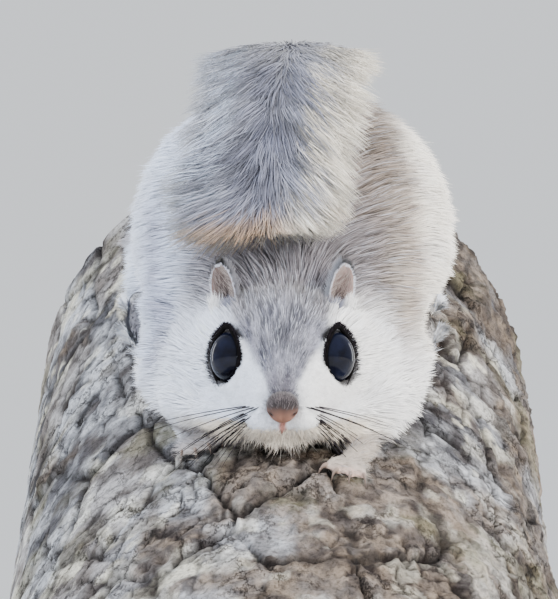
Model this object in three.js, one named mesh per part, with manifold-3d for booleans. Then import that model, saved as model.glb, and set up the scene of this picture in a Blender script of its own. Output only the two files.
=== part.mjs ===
// A Siberian flying squirrel in its winter coat, life-size and in millimetres. It clings head down to a
// short cut length of leaning trunk, with its tail folded over its back, on a plain display stand.
//
// The animal is modelled in a frame of its own: x to its left, y from the nose towards the tail, z away
// from the bark, with the trunk's crest along the y axis. One group leans animal and trunk together, and
// the stand is upright below them. The outer group's origin is the middle of the base's underside.
import * as THREE from 'three';
import { mergeVertices } from 'three/addons/utils/BufferGeometryUtils.js';
import Module from 'manifold-3d';

const wasm = await Module();
wasm.setup();

// Driving dimensions
const GAP = 0.3; // between pieces that touch
const LEAN = THREE.MathUtils.degToRad(30); // of the trunk's crest above the floor
const HEAD_LIFT = THREE.MathUtils.degToRad(10); // of the nose away from the bark

const TRUNK = {
  low: -62,
  high: 143,
  lowRadius: 61,
  highRadius: 52,
  around: 52,
  along: 26,
  plate: 21,
  fissure: 2.4,
  rough: 0.7,
  seed: 7,
};
const STAND = { wide: 150, deep: 170, thick: 12, corner: 22, bevel: 1.6, rod: 4.5, clear: 8, rodFront: -26, rodRear: 40 };

const HEAD_AT = [0, 17.4, 16.5]; // the point between the eyes
const EYE = { at: [11.3, -2.4, 0.4], axis: [0.76, -0.62, 0.16], up: [0.1, 0, 1], radius: 4.3, dome: 2.9, deep: 1.4 };
const LID = { ring: 4.95, thick: 0.7, long: 1.16, narrow: 0.94 };
const NOSE = { at: [0, -16.3, -6.1], size: [3.2, 2.2, 2.8], nostril: [1.9, -18.0, -6.9], nostrilSize: [0.85, 1.3, 0.65] };
const EAR = { base: [11.6, 12.4, 5.0], up: [0.2, 0.42, 0.885], open: [0.72, -0.66, 0.15], long: 10.8, half: 3.8, cup: 2.2, thick: 0.9 };
const TAIL = { coreWide: 8, coreThick: 2.1, reach: 20.5, tipReach: 16, lockWide: 3.1, lockThick: 0.8 };
const PATAGIUM = { thick: 1.5, lip: 1.1 };

// Small helpers
const v3 = (x, y, z) => new THREE.Vector3(x, y, z);
const vec = (a) => new THREE.Vector3(...a);
const mix = THREE.MathUtils.lerp;
const power = (value, exponent) => Math.sign(value) * Math.abs(value) ** exponent;

// A repeatable random number from 0 to 1 for two whole numbers.
function noise(i, j, seed) {
  const s = Math.sin(i * 127.1 + j * 311.7 + seed * 74.7) * 43758.5453;
  return s - Math.floor(s);
}

// A smooth curve of several values through the rows of a table, whose first column is the position.
function smoothTable(rows) {
  const size = rows[0].length - 1;
  const interpolant = new THREE.CubicInterpolant(
    rows.map((row) => row[0]),
    rows.flatMap((row) => row.slice(1)),
    size,
    new Float32Array(size),
  );
  return (at) => Array.from(interpolant.evaluate(at));
}

// A closed solid from points and triangles, turned to face out.
function closed(points, faces) {
  const make = (triVerts) =>
    new wasm.Manifold(
      new wasm.Mesh({
        numProp: 3,
        vertProperties: new Float32Array(points.flatMap((p) => [p.x, p.y, p.z])),
        triVerts: new Uint32Array(triVerts),
      }),
    );
  const made = make(faces);
  if (made.volume() > 0) return made;
  return make(faces.map((_, i) => faces[i - (i % 3) + [0, 2, 1][i % 3]]));
}

// A three.js geometry as a solid, placed by a matrix.
function solidOf(geometry, matrix = new THREE.Matrix4()) {
  const bare = geometry.clone().applyMatrix4(matrix);
  bare.deleteAttribute('normal');
  bare.deleteAttribute('uv');
  const merged = mergeVertices(bare, 1e-4);
  const at = merged.attributes.position;
  const points = Array.from({ length: at.count }, (_, i) => new THREE.Vector3().fromBufferAttribute(at, i));
  return closed(points, Array.from(merged.index.array));
}

function geometryOf(solid) {
  const { numProp, numVert, vertProperties, triVerts } = solid.getMesh();
  const at = new Float32Array(numVert * 3);
  for (let i = 0; i < numVert; i++) at.set(vertProperties.subarray(i * numProp, i * numProp + 3), i * 3);
  const geometry = new THREE.BufferGeometry();
  geometry.setAttribute('position', new THREE.BufferAttribute(at, 3));
  geometry.setIndex(new THREE.BufferAttribute(triVerts, 1));
  geometry.computeVertexNormals();
  return geometry;
}

const join = (...solids) => wasm.Manifold.union(solids);
const largest = (solid) => solid.decompose().reduce((a, b) => (b.volume() > a.volume() ? b : a));
const cutBy = (solid, ...others) => largest(solid.subtract(join(...others)));

// A closed body through rings of equal count. An end closes on its pole, or flat on its ring's middle.
function loft(rings, startPole, endPole) {
  const count = rings[0].length;
  const middle = (ring) => ring.reduce((sum, p) => sum.add(p), v3(0, 0, 0)).divideScalar(count);
  const points = [...rings.flat(), startPole ?? middle(rings[0]), endPole ?? middle(rings.at(-1))];
  const last = (rings.length - 1) * count;
  const faces = [];
  for (let i = 0; i < count; i++) {
    const j = (i + 1) % count;
    for (let r = 0; r < last; r += count) faces.push(r + i, r + j, r + count + i, r + j, r + count + j, r + count + i);
    faces.push(last + count, j, i, last + count + 1, last + i, last + j);
  }
  return closed(points, faces);
}

// A ring of a body section at y, widest at its level, with a top and a bottom of their own.
function section(y, [top, bottom, wide, level], around, grow, square = 1) {
  return Array.from({ length: around }, (_, i) => {
    const angle = (i / around) * 2 * Math.PI;
    const up = power(Math.sin(angle), square);
    return v3(
      (wide + grow) * power(Math.cos(angle), square),
      y,
      level + up * (up > 0 ? top + grow - level : level - bottom + grow),
    );
  });
}

// A tube of oval rings along a curve through points, each with its radius: [x, y, z, radius].
function limb(rows, around, along, grow = 0, flat = 1) {
  const curve = new THREE.CatmullRomCurve3(rows.map(([x, y, z]) => v3(x, y, z)));
  const radii = smoothTable(rows.map((row, i) => [i / (rows.length - 1), row[3]]));
  const rings = Array.from({ length: along + 1 }, (_, k) => {
    const t = k / along;
    const centre = curve.getPoint(t);
    const tangent = curve.getTangent(t);
    const side = new THREE.Vector3().crossVectors(tangent, v3(0, 0, 1)).normalize();
    const up = new THREE.Vector3().crossVectors(side, tangent);
    const radius = radii(t)[0] + grow;
    return Array.from({ length: around }, (_, i) => {
      const angle = (i / around) * 2 * Math.PI;
      return centre
        .clone()
        .addScaledVector(side, radius * Math.cos(angle))
        .addScaledVector(up, radius * flat * Math.sin(angle));
    });
  });
  const start = rings[0].length && curve.getPoint(0).addScaledVector(curve.getTangent(0), -(rows[0][3] + grow) * 0.5);
  const end = curve.getPoint(1).addScaledVector(curve.getTangent(1), (rows.at(-1)[3] + grow) * 0.6);
  return loft(rings, start, end);
}

// A thin closed sheet over a grid of points, front and back split into triangles alike.
function sheet(front, back, across, along) {
  const points = [];
  for (const face of [front, back])
    for (let j = 0; j <= along; j++) for (let i = 0; i <= across; i++) points.push(face(i / across, j / along));
  const at = (side, i, j) => side * (across + 1) * (along + 1) + j * (across + 1) + i;
  const faces = [];
  for (let j = 0; j < along; j++)
    for (let i = 0; i < across; i++) {
      faces.push(at(0, i, j), at(0, i + 1, j), at(0, i + 1, j + 1), at(0, i, j), at(0, i + 1, j + 1), at(0, i, j + 1));
      faces.push(at(1, i, j), at(1, i + 1, j + 1), at(1, i + 1, j), at(1, i, j), at(1, i, j + 1), at(1, i + 1, j + 1));
    }
  const rim = [];
  for (let i = 0; i < across; i++) rim.push([i, 0]);
  for (let j = 0; j < along; j++) rim.push([across, j]);
  for (let i = across; i > 0; i--) rim.push([i, along]);
  for (let j = along; j > 0; j--) rim.push([0, j]);
  rim.forEach(([i, j], k) => {
    const [m, n] = rim[(k + 1) % rim.length];
    faces.push(at(0, i, j), at(1, i, j), at(0, m, n), at(0, m, n), at(1, i, j), at(1, m, n));
  });
  return closed(points, faces);
}

// A round section swept along a curve, as a solid.
function wire(points, radius, steps) {
  const circle = new THREE.Shape().absarc(0, 0, radius, 0, 2 * Math.PI);
  const path = new THREE.CatmullRomCurve3(points);
  return solidOf(new THREE.ExtrudeGeometry(circle, { steps, extrudePath: path, curveSegments: 3 }));
}

// An ellipsoid by its middle and half sizes.
function ball(middle, size, wide = 14, high = 10) {
  const place = new THREE.Matrix4().compose(vec(middle), new THREE.Quaternion(), vec(size));
  return solidOf(new THREE.SphereGeometry(1, wide, high), place);
}

const MIRROR = new THREE.Matrix4().makeScale(-1, 1, 1);
const mirrored = (solid) => solidOf(geometryOf(solid), MIRROR);

// Trunk
const trunkRadius = (y) => mix(TRUNK.lowRadius, TRUNK.highRadius, (y - TRUNK.low) / (TRUNK.high - TRUNK.low));
const barkHeight = (x, y) => Math.sqrt(trunkRadius(y) ** 2 - x * x) - trunkRadius(y);

// How far the bark stands proud of the trunk's mean radius: plates parted by fissures.
function barkRelief(angle, y) {
  const columns = Math.round((2 * Math.PI * TRUNK.lowRadius) / TRUNK.plate);
  const u = (angle / (2 * Math.PI)) * columns;
  const v = y / (TRUNK.plate * 1.7);
  const near = [9, 9];
  for (let i = Math.floor(u) - 1; i <= Math.floor(u) + 1; i++)
    for (let j = Math.floor(v) - 1; j <= Math.floor(v) + 1; j++) {
      const column = ((i % columns) + columns) % columns;
      const du = i + 0.5 + 0.7 * (noise(column, j, TRUNK.seed) - 0.5) - u;
      const dv = j + 0.5 + 0.7 * (noise(column, j, TRUNK.seed + 1) - 0.5) - v;
      near.push(Math.hypot(du, dv));
      near.sort((a, b) => a - b);
      near.length = 2;
    }
  const edge = THREE.MathUtils.smoothstep(near[1] - near[0], 0, 0.35);
  return TRUNK.fissure * (edge - 1) + TRUNK.rough * Math.sin(u * 2.3 + Math.sin(v * 3.1)) * Math.cos(v * 4.7);
}

function trunk(grow = 0) {
  const ring = (y) =>
    Array.from({ length: TRUNK.around }, (_, i) => {
      const angle = (i / TRUNK.around) * 2 * Math.PI;
      const radius = trunkRadius(y) + barkRelief(angle, y) + grow;
      return v3(radius * Math.cos(angle), y, radius * Math.sin(angle) - trunkRadius(y));
    });
  const rings = Array.from({ length: TRUNK.along + 1 }, (_, k) => ring(mix(TRUNK.low, TRUNK.high, k / TRUNK.along)));
  return loft(rings);
}

// Torso, neck and head. Rows are y, top, bottom, half width and the level of the widest line.
const TORSO_ROWS = smoothTable([
  [36, 25.5, -7, 21.5, 9],
  [43, 29.5, -9, 24.8, 11],
  [50, 34.5, -11, 28.4, 12.5],
  [58, 39.5, -12, 31.8, 14],
  [67, 43.9, -14, 33.8, 15],
  [77, 46, -15, 34.3, 15.5],
  [87, 45, -15, 33.2, 15.5],
  [96, 41.4, -14, 29.8, 15],
  [104, 35.2, -12, 24.6, 13],
  [110, 27.4, -10, 18.4, 10],
  [114, 19.6, -6, 11.6, 8],
]);
const TORSO = { front: 43, back: 114, rings: 15, around: 26, end: [0, 116, 8], shift: 2.2 };

const HEAD_ROWS = smoothTable([
  [-16, -4.2, -10.6, 3.6, -7.4],
  [-14.2, -2.6, -13.4, 6.2, -8.2],
  [-12, -0.6, -15.2, 8.2, -8.4],
  [-9, 2, -16.4, 9.9, -8],
  [-6, 4.8, -17, 11.6, -7],
  [-2, 8, -17.4, 14, -6],
  [2, 10.2, -17.4, 17, -5.5],
  [7, 11.4, -17.2, 20.2, -5],
  [12, 11.3, -17, 21.2, -4.5],
  [15, 10.9, -16.8, 21.2, -4],
]);
const HEAD = { front: -16, back: 15, rings: 13, around: 28, tip: [0, -16.8, -7.2] };

const headMatrix = new THREE.Matrix4().makeRotationX(-HEAD_LIFT).setPosition(...HEAD_AT);
const shifted = (ring) => ring.map((p) => v3(p.x + TORSO.shift, p.y, p.z));

function torsoRing(y, grow, around = TORSO.around) {
  return shifted(section(y, TORSO_ROWS(y), around, grow));
}

// A grown body is also longer by as much at each end.
function torso(grow = 0) {
  const rings = Array.from({ length: TORSO.rings + 1 }, (_, k) => {
    const share = k / TORSO.rings;
    const ring = torsoRing(mix(TORSO.front, TORSO.back, share), grow);
    return ring.map((p) => p.add(v3(0, grow * (2 * share - 1), 0)));
  });
  return loft(rings, null, vec(TORSO.end).add(v3(TORSO.shift, grow, 0)));
}

function headLoft(grow) {
  const rings = Array.from({ length: HEAD.rings + 1 }, (_, k) => {
    const share = (k / HEAD.rings) ** 1.15;
    const y = mix(HEAD.front, HEAD.back, share);
    return section(y, HEAD_ROWS(y), HEAD.around, grow).map((p) => p.add(v3(0, grow * (2 * share - 1), 0)));
  });
  return loft(rings, vec(HEAD.tip).add(v3(0, -grow, 0)));
}

// The neck runs from the head's last ring to the torso's first, face to face with both.
function neck(grow = 0) {
  const from = section(HEAD.back + GAP - grow, HEAD_ROWS(HEAD.back), TORSO.around, grow);
  from.forEach((p) => p.applyMatrix4(headMatrix));
  const to = torsoRing(TORSO.front, grow).map((p) => p.add(v3(0, grow - GAP, 0)));
  const steps = 3;
  return loft(
    Array.from({ length: steps + 1 }, (_, k) => from.map((p, i) => p.clone().lerp(to[i], k / steps))),
  );
}

// A placing that carries the z axis onto an axis, and the x axis as near as it can to an upward one.
function facing(at, axis, up, size = v3(1, 1, 1)) {
  const z = vec(axis).normalize();
  const y = new THREE.Vector3().crossVectors(z, vec(up)).normalize();
  const x = new THREE.Vector3().crossVectors(y, z);
  return new THREE.Matrix4().makeBasis(x, y, z).scale(size).setPosition(at);
}

// The opening of the left eye, longer towards its two corners, with the lids as a ring round it.
const eyeOpening = facing(vec(EYE.at), EYE.axis, EYE.up, v3(LID.long, LID.narrow, 1));

function lids() {
  return solidOf(new THREE.TorusGeometry(LID.ring, LID.thick, 6, 16), eyeOpening);
}

// The eye is a domed disc seated in the opening.
function eye(grow = 0) {
  const wide = EYE.radius + grow;
  const high = EYE.dome + grow;
  const sphere = (wide * wide + high * high) / (2 * high);
  const arc = Math.asin(wide / sphere);
  const profile = [new THREE.Vector2(0, -EYE.deep - grow), new THREE.Vector2(wide, -EYE.deep - grow)];
  for (let i = 0; i <= 5; i++) {
    const angle = arc * (1 - i / 5);
    profile.push(new THREE.Vector2(i < 5 ? sphere * Math.sin(angle) : 0, high - sphere * (1 - Math.cos(angle))));
  }
  const dome = new THREE.LatheGeometry(profile, 16).rotateX(Math.PI / 2);
  return solidOf(dome, eyeOpening);
}

function nosePad(grow = 0) {
  return ball(NOSE.at, NOSE.size.map((s) => s + grow), 12, 8);
}

// Full lower cheeks, either side of the mouth.
const jowls = (grow = 0) => [-1, 1].map((s) => ball([s * 8, -5, -12.6], [5.4, 6.2, 4.2].map((r) => r + grow), 12, 8));

function head() {
  const cheekPads = [-1, 1].map((s) => ball([s * 3.9, -13.3, -9.6], [3.9, 3.5, 3.1], 10, 7));
  const chin = ball([0, -11.8, -14.4], [4.6, 3.6, 2.7], 10, 7);
  const rightLids = mirrored(lids());
  const flesh = join(headLoft(0), ...cheekPads, ...jowls(), chin, lids(), rightLids);
  const mouth = wire([v3(-6.8, -9.6, -13.4), v3(-3.4, -14.6, -13), v3(0, -16.6, -11.9), v3(3.4, -14.6, -13), v3(6.8, -9.6, -13.4)], 0.5, 9);
  const philtrum = wire([v3(0, -18, -7.6), v3(0, -17.0, -10), v3(0, -16.2, -12)], 0.4, 3);
  return cutBy(flesh, eye(GAP), mirrored(eye(GAP)), nosePad(GAP), mouth, philtrum);
}

// Nose pad with its two nostrils, clear of the muzzle.
function nose() {
  const nostrils = [-1, 1].map((s) => {
    const [x, y, z] = NOSE.nostril;
    return ball([s * x, y, z], NOSE.nostrilSize, 7, 5);
  });
  return cutBy(nosePad(), ...nostrils, headLoft(-1.2));
}

// Cup of the left ear: a scoop between a front and a back face.
function ear() {
  const up = vec(EAR.up).normalize();
  const open = vec(EAR.open);
  open.addScaledVector(up, -open.dot(up)).normalize();
  const wide = new THREE.Vector3().crossVectors(up, open);
  const face = (thick) => (u, v) => {
    const across = 2 * u - 1;
    const half = EAR.half * Math.sqrt(Math.max(0.04, 1 - ((v - 0.45) / 0.57) ** 2));
    const depth = EAR.cup * (1 - across ** 2) * (1 - 0.75 * v);
    return vec(EAR.base)
      .addScaledVector(up, EAR.long * v)
      .addScaledVector(wide, half * across)
      .addScaledVector(open, -depth - thick * (1 - 0.3 * across ** 2));
  };
  return sheet(face(0), face(EAR.thick), 6, 7);
}

// Limbs of the left side. Rows are x, y, z and radius.
const FORELEG = [
  [13, 55, 13, 9],
  [22.8, 46, 8, 8.8],
  [23.4, 34, 3, 7],
  [20.8, 22, 1.2, 5.8],
  [17.2, 11, 0.6, 3.5],
];
// The right foreleg is drawn further back, under the cheek.
const FORELEG_TUCKED = [
  [13, 55, 13, 9],
  [22.8, 48, 8, 8.8],
  [24, 40, 3, 7],
  [22.6, 31, 1.2, 5.6],
  [20.2, 22.5, 0.6, 3.5],
];
const THIGH = [
  [15, 98, 8, 10.5],
  [20.5, 92, 5, 10.5],
  [25.2, 85, 1.5, 8.2],
];
const SHANK = [
  [25.4, 82, 0, 7.4],
  [26.8, 90, -2.6, 6.5],
  [28.2, 100, -6, 5],
  [29, 109, -8.4, 4],
];
const FOREPAW = {
  palm: [
    [16.9, 10.2, 0.5, 3.3],
    [15.2, 6, 0.4, 3.5],
    [13.8, 2.8, 0, 3.1],
  ],
  toes: 4,
  fan: 0.85,
  heading: -0.3,
  long: 6.2,
  thick: 1.3,
  claw: 2.6,
};
const FOREPAW_TUCKED = {
  ...FOREPAW,
  palm: [
    [19.9, 21.7, 0.5, 3.3],
    [18.8, 18, 0.4, 3.5],
    [17.8, 15.2, 0, 3.1],
  ],
};
const HINDPAW = {
  palm: [
    [29.1, 109.8, -8.5, 3.9],
    [29.5, 116, -9.2, 3.7],
    [29.9, 122, -9.6, 3.9],
  ],
  toes: 5,
  fan: 0.95,
  heading: -0.1,
  long: 8.2,
  thick: 1.45,
  claw: 3,
};

const foreleg = (rows, grow = 0) => limb(rows, 12, 8, grow);
const hindleg = (grow = 0) => join(limb(THIGH, 12, 4, grow), limb(SHANK, 10, 6, grow));

// A paw: its palm, and toes that fan out over the bark, each with a hooked claw. Forwards is -1 or 1 in y.
function paw({ palm, toes, fan, heading, long, thick, claw }, forwards) {
  const [rootX, rootY, , spread] = palm.at(-1);
  const pieces = [limb(palm, 9, 3, 0, 0.75)];
  for (let i = 0; i < toes; i++) {
    const share = i / (toes - 1) - 0.5;
    const angle = heading + fan * share;
    const reach = long * (1 - 0.55 * share ** 2);
    const stepX = Math.sin(angle);
    const stepY = forwards * Math.cos(angle);
    const x0 = rootX + share * spread * 1.2;
    const point = (s, lift, radius) => {
      const x = x0 + stepX * s;
      return [x, rootY + stepY * s, barkHeight(x, rootY + stepY * s) + lift, radius];
    };
    pieces.push(limb([point(-1.5, 1.7, thick), point(reach * 0.5, 2.3, thick), point(reach, 1.2, thick * 0.85)], 6, 2));
    pieces.push(
      limb([point(reach - 0.6, 1.7, 0.75), point(reach + claw * 0.6, 1.6, 0.55), point(reach + claw, 0.4, 0.25)], 3, 2),
    );
  }
  return join(...pieces);
}

// Gliding skin, gathered along the left flank: from the wrist, round the elbow and knee, to the ankle.
const PATAGIUM_EDGE = smoothTable([
  [0, 19, 16, -1.5],
  [0.12, 23.5, 26, -1],
  [0.25, 28.2, 38, -0.5],
  [0.4, 31.8, 52, -1],
  [0.55, 33, 66, -3],
  [0.7, 33, 80, -5],
  [0.85, 32, 94, -7],
  [1, 30, 106, -8.5],
]);

function patagium() {
  const face = (thick) => (u, v) => {
    const [x, y, z] = PATAGIUM_EDGE(v);
    const fold = 0.7 * Math.sin(v * 29) * u;
    const inward = 11 * (1 - u);
    const rise = inward * 0.75 + 0.8 * Math.sin(Math.PI * u);
    return v3(x - inward + fold, y, z + rise + thick * (u > 0.8 ? PATAGIUM.lip : 1));
  };
  return sheet(face(0), face(PATAGIUM.thick), 4, 18);
}

// Tail
const TAIL_LINE = new THREE.CatmullRomCurve3([
  v3(1.2, 111, 11),
  v3(1.6, 118.5, 16.5),
  v3(2, 121, 25.5),
  v3(2.2, 117, 34.5),
  v3(2, 108, 41.8),
  v3(1.4, 97.5, 46.6),
  v3(0.6, 87, 49.2),
  v3(-0.4, 76, 49.4),
  v3(-1.4, 65, 47.2),
  v3(-2.6, 54.3, 42.6),
  v3(-3.9, 43.2, 35.8),
]);

// Centre, direction, side and outward normal of the tail at a share of its length.
function tailFrame(t) {
  const tangent = TAIL_LINE.getTangentAt(t);
  const side = v3(1, 0, 0).addScaledVector(tangent, -tangent.x).normalize();
  const out = new THREE.Vector3().crossVectors(side, tangent);
  return { centre: TAIL_LINE.getPointAt(t), tangent, side, out };
}

const tailWidth = (t) => mix(0.45, 1, THREE.MathUtils.smoothstep(t, 0, 0.3));

function tailCore() {
  const steps = 16;
  const around = 8;
  const rings = Array.from({ length: steps + 1 }, (_, k) => {
    const t = k / steps;
    const { centre, side, out } = tailFrame(t);
    const close = t > 0.85 ? Math.sqrt(1 - ((t - 0.85) / 0.17) ** 2) : 1;
    const wide = TAIL.coreWide * tailWidth(t) * close;
    return Array.from({ length: around }, (_, i) => {
      const angle = (i / around) * 2 * Math.PI;
      return centre
        .clone()
        .addScaledVector(side, wide * Math.cos(angle))
        .addScaledVector(out, TAIL.coreThick * (0.7 + 0.3 * close) * Math.sin(angle));
    });
  });
  return loft(rings);
}

// A flat, tapered lock: it leaves its root along a direction and turns towards its bend.
function lock(root, direction, bend, normal, long, wide, thick) {
  const rows = [
    [0, 0.85, 1],
    [0.6, 1, 0.85],
  ];
  const at = (s) => root.clone().addScaledVector(direction, long * s).addScaledVector(bend, long * s * s);
  const rings = rows.map(([s, w, h]) => {
    const along = direction.clone().addScaledVector(bend, 2 * s).normalize();
    const across = new THREE.Vector3().crossVectors(normal, along).normalize();
    const up = new THREE.Vector3().crossVectors(along, across);
    return [0, 1, 2, 3].map((q) => {
      const angle = (q * Math.PI) / 2;
      return at(s)
        .addScaledVector(across, wide * w * Math.cos(angle))
        .addScaledVector(up, thick * h * Math.sin(angle));
    });
  });
  return loft(rings, at(-0.02), at(1));
}

// Rows of locks along the tail: [rows start, share across, height, turn from the tail's line, reach].
const LOCK_ROWS = [
  { across: 0.82, lift: 0.1, turn: 0.96, reach: 1, step: 0.056, first: 0.1, droop: 0.24 },
  { across: 0.6, lift: 0.75, turn: 0.78, reach: 0.88, step: 0.095, first: 0.12, droop: 0.18 },
  { across: 0.5, lift: -0.7, turn: 0.85, reach: 0.9, step: 0.13, first: 0.08, droop: 0.34 },
  { across: 0.16, lift: 0.95, turn: 0.28, reach: 0.75, step: 0.16, first: 0.12, droop: 0.1 },
];

function tailLocks() {
  const locks = [];
  LOCK_ROWS.forEach((row, r) => {
    for (let t = row.first, k = 0; t < 0.97; t += row.step, k++)
      for (const s of [-1, 1]) {
        const { centre, tangent, side, out } = tailFrame(t);
        const vary = noise(k, r * 2 + s, 3) - 0.5;
        const wide = tailWidth(t);
        const root = centre
          .clone()
          .addScaledVector(side, s * row.across * TAIL.coreWide * wide * 0.75)
          .addScaledVector(out, row.lift * TAIL.coreThick * 0.8);
        const turn = row.turn * mix(1, 0.72, THREE.MathUtils.smoothstep(t, 0.8, 1)) + 0.14 * vary;
        const direction = tangent.clone().multiplyScalar(Math.cos(turn)).addScaledVector(side, s * Math.sin(turn));
        const ahead = tailFrame(Math.min(1, t + 0.15)).tangent;
        const bend = ahead.sub(tangent).addScaledVector(tangent, 0.2).addScaledVector(out, -row.droop);
        const long = (TAIL.reach - TAIL.coreWide * row.across * 0.75) * row.reach * wide * (1.06 + 0.16 * vary);
        locks.push(lock(root, direction, bend, out, long, TAIL.lockWide * (1 + 0.3 * vary), TAIL.lockThick));
      }
  });
  const { centre, tangent, side, out } = tailFrame(0.97);
  const fan = 9;
  for (let i = 0; i < fan; i++) {
    const share = (i / (fan - 1)) * 2 - 1;
    const turn = 1.1 * share + 0.05;
    const direction = tangent.clone().multiplyScalar(Math.cos(turn)).addScaledVector(side, Math.sin(turn));
    const root = centre
      .clone()
      .addScaledVector(side, share * 4.5)
      .addScaledVector(tangent, -3)
      .addScaledVector(out, i % 2 ? 0.5 : -0.3);
    const long = TAIL.tipReach * (1 - 0.12 * share + 0.06 * Math.abs(share));
    locks.push(lock(root, direction, out.clone().multiplyScalar(-0.12), out, long, TAIL.lockWide, TAIL.lockThick));
  }
  return locks;
}

// A thin plate across the tail, which parts two of its lengths.
function tailCut(t) {
  const { centre, tangent, out } = tailFrame(t);
  return solidOf(new THREE.BoxGeometry(30, 64, GAP), facing(centre, tangent.toArray(), out.toArray()));
}

// The tail in three lengths, from its root to its tip.
function tailLengths(...clear) {
  const whole = join(tailCore(), ...tailLocks()).subtract(join(...clear));
  const pieces = whole.subtract(join(tailCut(0.3), tailCut(0.66))).decompose();
  const biggest = pieces.sort((a, b) => b.volume() - a.volume()).slice(0, 3);
  const middleOf = (solid) => {
    const { min, max } = solid.boundingBox();
    return (min[1] + max[1]) / 2;
  };
  return biggest.sort((a, b) => middleOf(b) - middleOf(a));
}

// Materials
const plain = (color, roughness, metalness = 0) => new THREE.MeshStandardMaterial({ color, roughness, metalness });
const MATERIAL = {
  grey: plain(0xb9b6b4, 0.95),
  pale: plain(0xe6e2dd, 0.95),
  face: plain(0xd9d6d4, 0.95),
  eye: plain(0x0b0b10, 0.05),
  nose: plain(0xa97c6c, 0.55),
  ear: plain(0xb39a92, 0.8),
  bark: plain(0x8a8178, 0.95),
  base: plain(0x3a2a20, 0.45),
  rod: plain(0x8d8d90, 0.35, 1),
};

const leaning = new THREE.Group();
const squirrel = new THREE.Group();
const headGroup = new THREE.Group();
headGroup.position.set(...HEAD_AT);
headGroup.rotation.x = -HEAD_LIFT;

function add(group, name, solid, material) {
  const mesh = new THREE.Mesh(geometryOf(solid), material);
  mesh.name = name;
  group.add(mesh);
}

// Everything that lies against a neighbour is cut clear of it by the gap.
const grownTrunk = trunk(GAP);
const toHead = headMatrix.clone().invert();
const trunkAtHead = solidOf(geometryOf(grownTrunk), toHead);
const grownHead = solidOf(geometryOf(join(headLoft(GAP), ...jowls(GAP))), headMatrix);
const body = [grownHead, neck(GAP), torso(GAP), grownTrunk];

add(headGroup, 'head', largest(head().subtract(trunkAtHead)), MATERIAL.face);
add(headGroup, 'nose', nose(), MATERIAL.nose);
const grownNeck = solidOf(geometryOf(neck(GAP)), toHead);
const leftEar = cutBy(ear(), headLoft(GAP), grownNeck);
add(headGroup, 'ear_left', leftEar, MATERIAL.ear);
const rightEar = cutBy(mirrored(ear()), headLoft(GAP), grownNeck);
add(headGroup, 'ear_right', rightEar, MATERIAL.ear);
add(headGroup, 'eye_left', eye(), MATERIAL.eye);
add(headGroup, 'eye_right', mirrored(eye()), MATERIAL.eye);

add(squirrel, 'neck', cutBy(neck(), grownTrunk), MATERIAL.grey);
add(squirrel, 'torso', cutBy(torso(), grownTrunk), MATERIAL.grey);

for (const [name, turn, foreRows, forePaw] of [
  ['left', (solid) => solid, FORELEG, FOREPAW],
  ['right', mirrored, FORELEG_TUCKED, FOREPAW_TUCKED],
]) {
  const foreGrown = turn(foreleg(foreRows, GAP));
  const hindGrown = turn(hindleg(GAP));
  add(squirrel, 'foreleg_' + name, cutBy(turn(foreleg(foreRows)), ...body), MATERIAL.grey);
  add(squirrel, 'hindleg_' + name, cutBy(turn(hindleg()), ...body), MATERIAL.grey);
  add(squirrel, 'forepaw_' + name, cutBy(turn(paw(forePaw, -1)), foreGrown, ...body), MATERIAL.pale);
  add(squirrel, 'hindpaw_' + name, cutBy(turn(paw(HINDPAW, 1)), hindGrown, ...body), MATERIAL.pale);
  add(squirrel, 'patagium_' + name, cutBy(turn(patagium()), foreGrown, hindGrown, ...body), MATERIAL.pale);
}

const earsGrown = [leftEar, rightEar].map((solid) => solidOf(geometryOf(solid), headMatrix));
tailLengths(...body, ...earsGrown).forEach((solid, i) => {
  add(squirrel, ['tail_base', 'tail_middle', 'tail_end'][i], solid, MATERIAL.grey);
});

squirrel.add(headGroup);
leaning.add(squirrel);
add(leaning, 'perch_trunk', trunk(), MATERIAL.bark);

// The stand: the trunk's middle is above the middle of the base, and its lowest rim clears the base.
const middleY = (TRUNK.low + TRUNK.high) / 2;
const middle = v3(0, middleY, -trunkRadius(middleY));
const toWorld = new THREE.Matrix4().makeRotationX(LEAN);
const lowRim = v3(0, TRUNK.low, -2 * TRUNK.lowRadius).sub(middle).applyMatrix4(toWorld);
const trunkHeight = STAND.thick + STAND.clear - lowRim.z;
const origin = v3(0, 0, trunkHeight).sub(middle.clone().applyMatrix4(toWorld));
leaning.rotation.x = LEAN;
leaning.position.copy(origin);

function standBase() {
  const [w, d, r] = [STAND.wide / 2 - STAND.bevel, STAND.deep / 2 - STAND.bevel, STAND.corner];
  const outline = new THREE.Shape();
  outline.absarc(w - r, d - r, r, 0, Math.PI / 2);
  outline.absarc(r - w, d - r, r, Math.PI / 2, Math.PI);
  outline.absarc(r - w, r - d, r, Math.PI, 1.5 * Math.PI);
  outline.absarc(w - r, r - d, r, 1.5 * Math.PI, 2 * Math.PI);
  const plate = new THREE.ExtrudeGeometry(outline, {
    depth: STAND.thick - 2 * STAND.bevel,
    bevelThickness: STAND.bevel,
    bevelSize: STAND.bevel,
    bevelSegments: 1,
    curveSegments: 6,
  });
  return solidOf(plate.translate(0, 0, STAND.bevel));
}

const trunkInWorld = solidOf(geometryOf(grownTrunk), toWorld.clone().setPosition(origin));
function standRod(y) {
  const foot = STAND.thick + GAP;
  const rod = new THREE.CylinderGeometry(STAND.rod, STAND.rod, trunkHeight - foot, 24);
  rod.rotateX(Math.PI / 2).translate(0, y, (trunkHeight + foot) / 2);
  return cutBy(solidOf(rod), trunkInWorld);
}

const part = new THREE.Group();
part.add(leaning);
add(part, 'stand_base', standBase(), MATERIAL.base);
add(part, 'stand_rod_front', standRod(STAND.rodFront), MATERIAL.rod);
add(part, 'stand_rod_rear', standRod(STAND.rodRear), MATERIAL.rod);

export default part;
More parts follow.
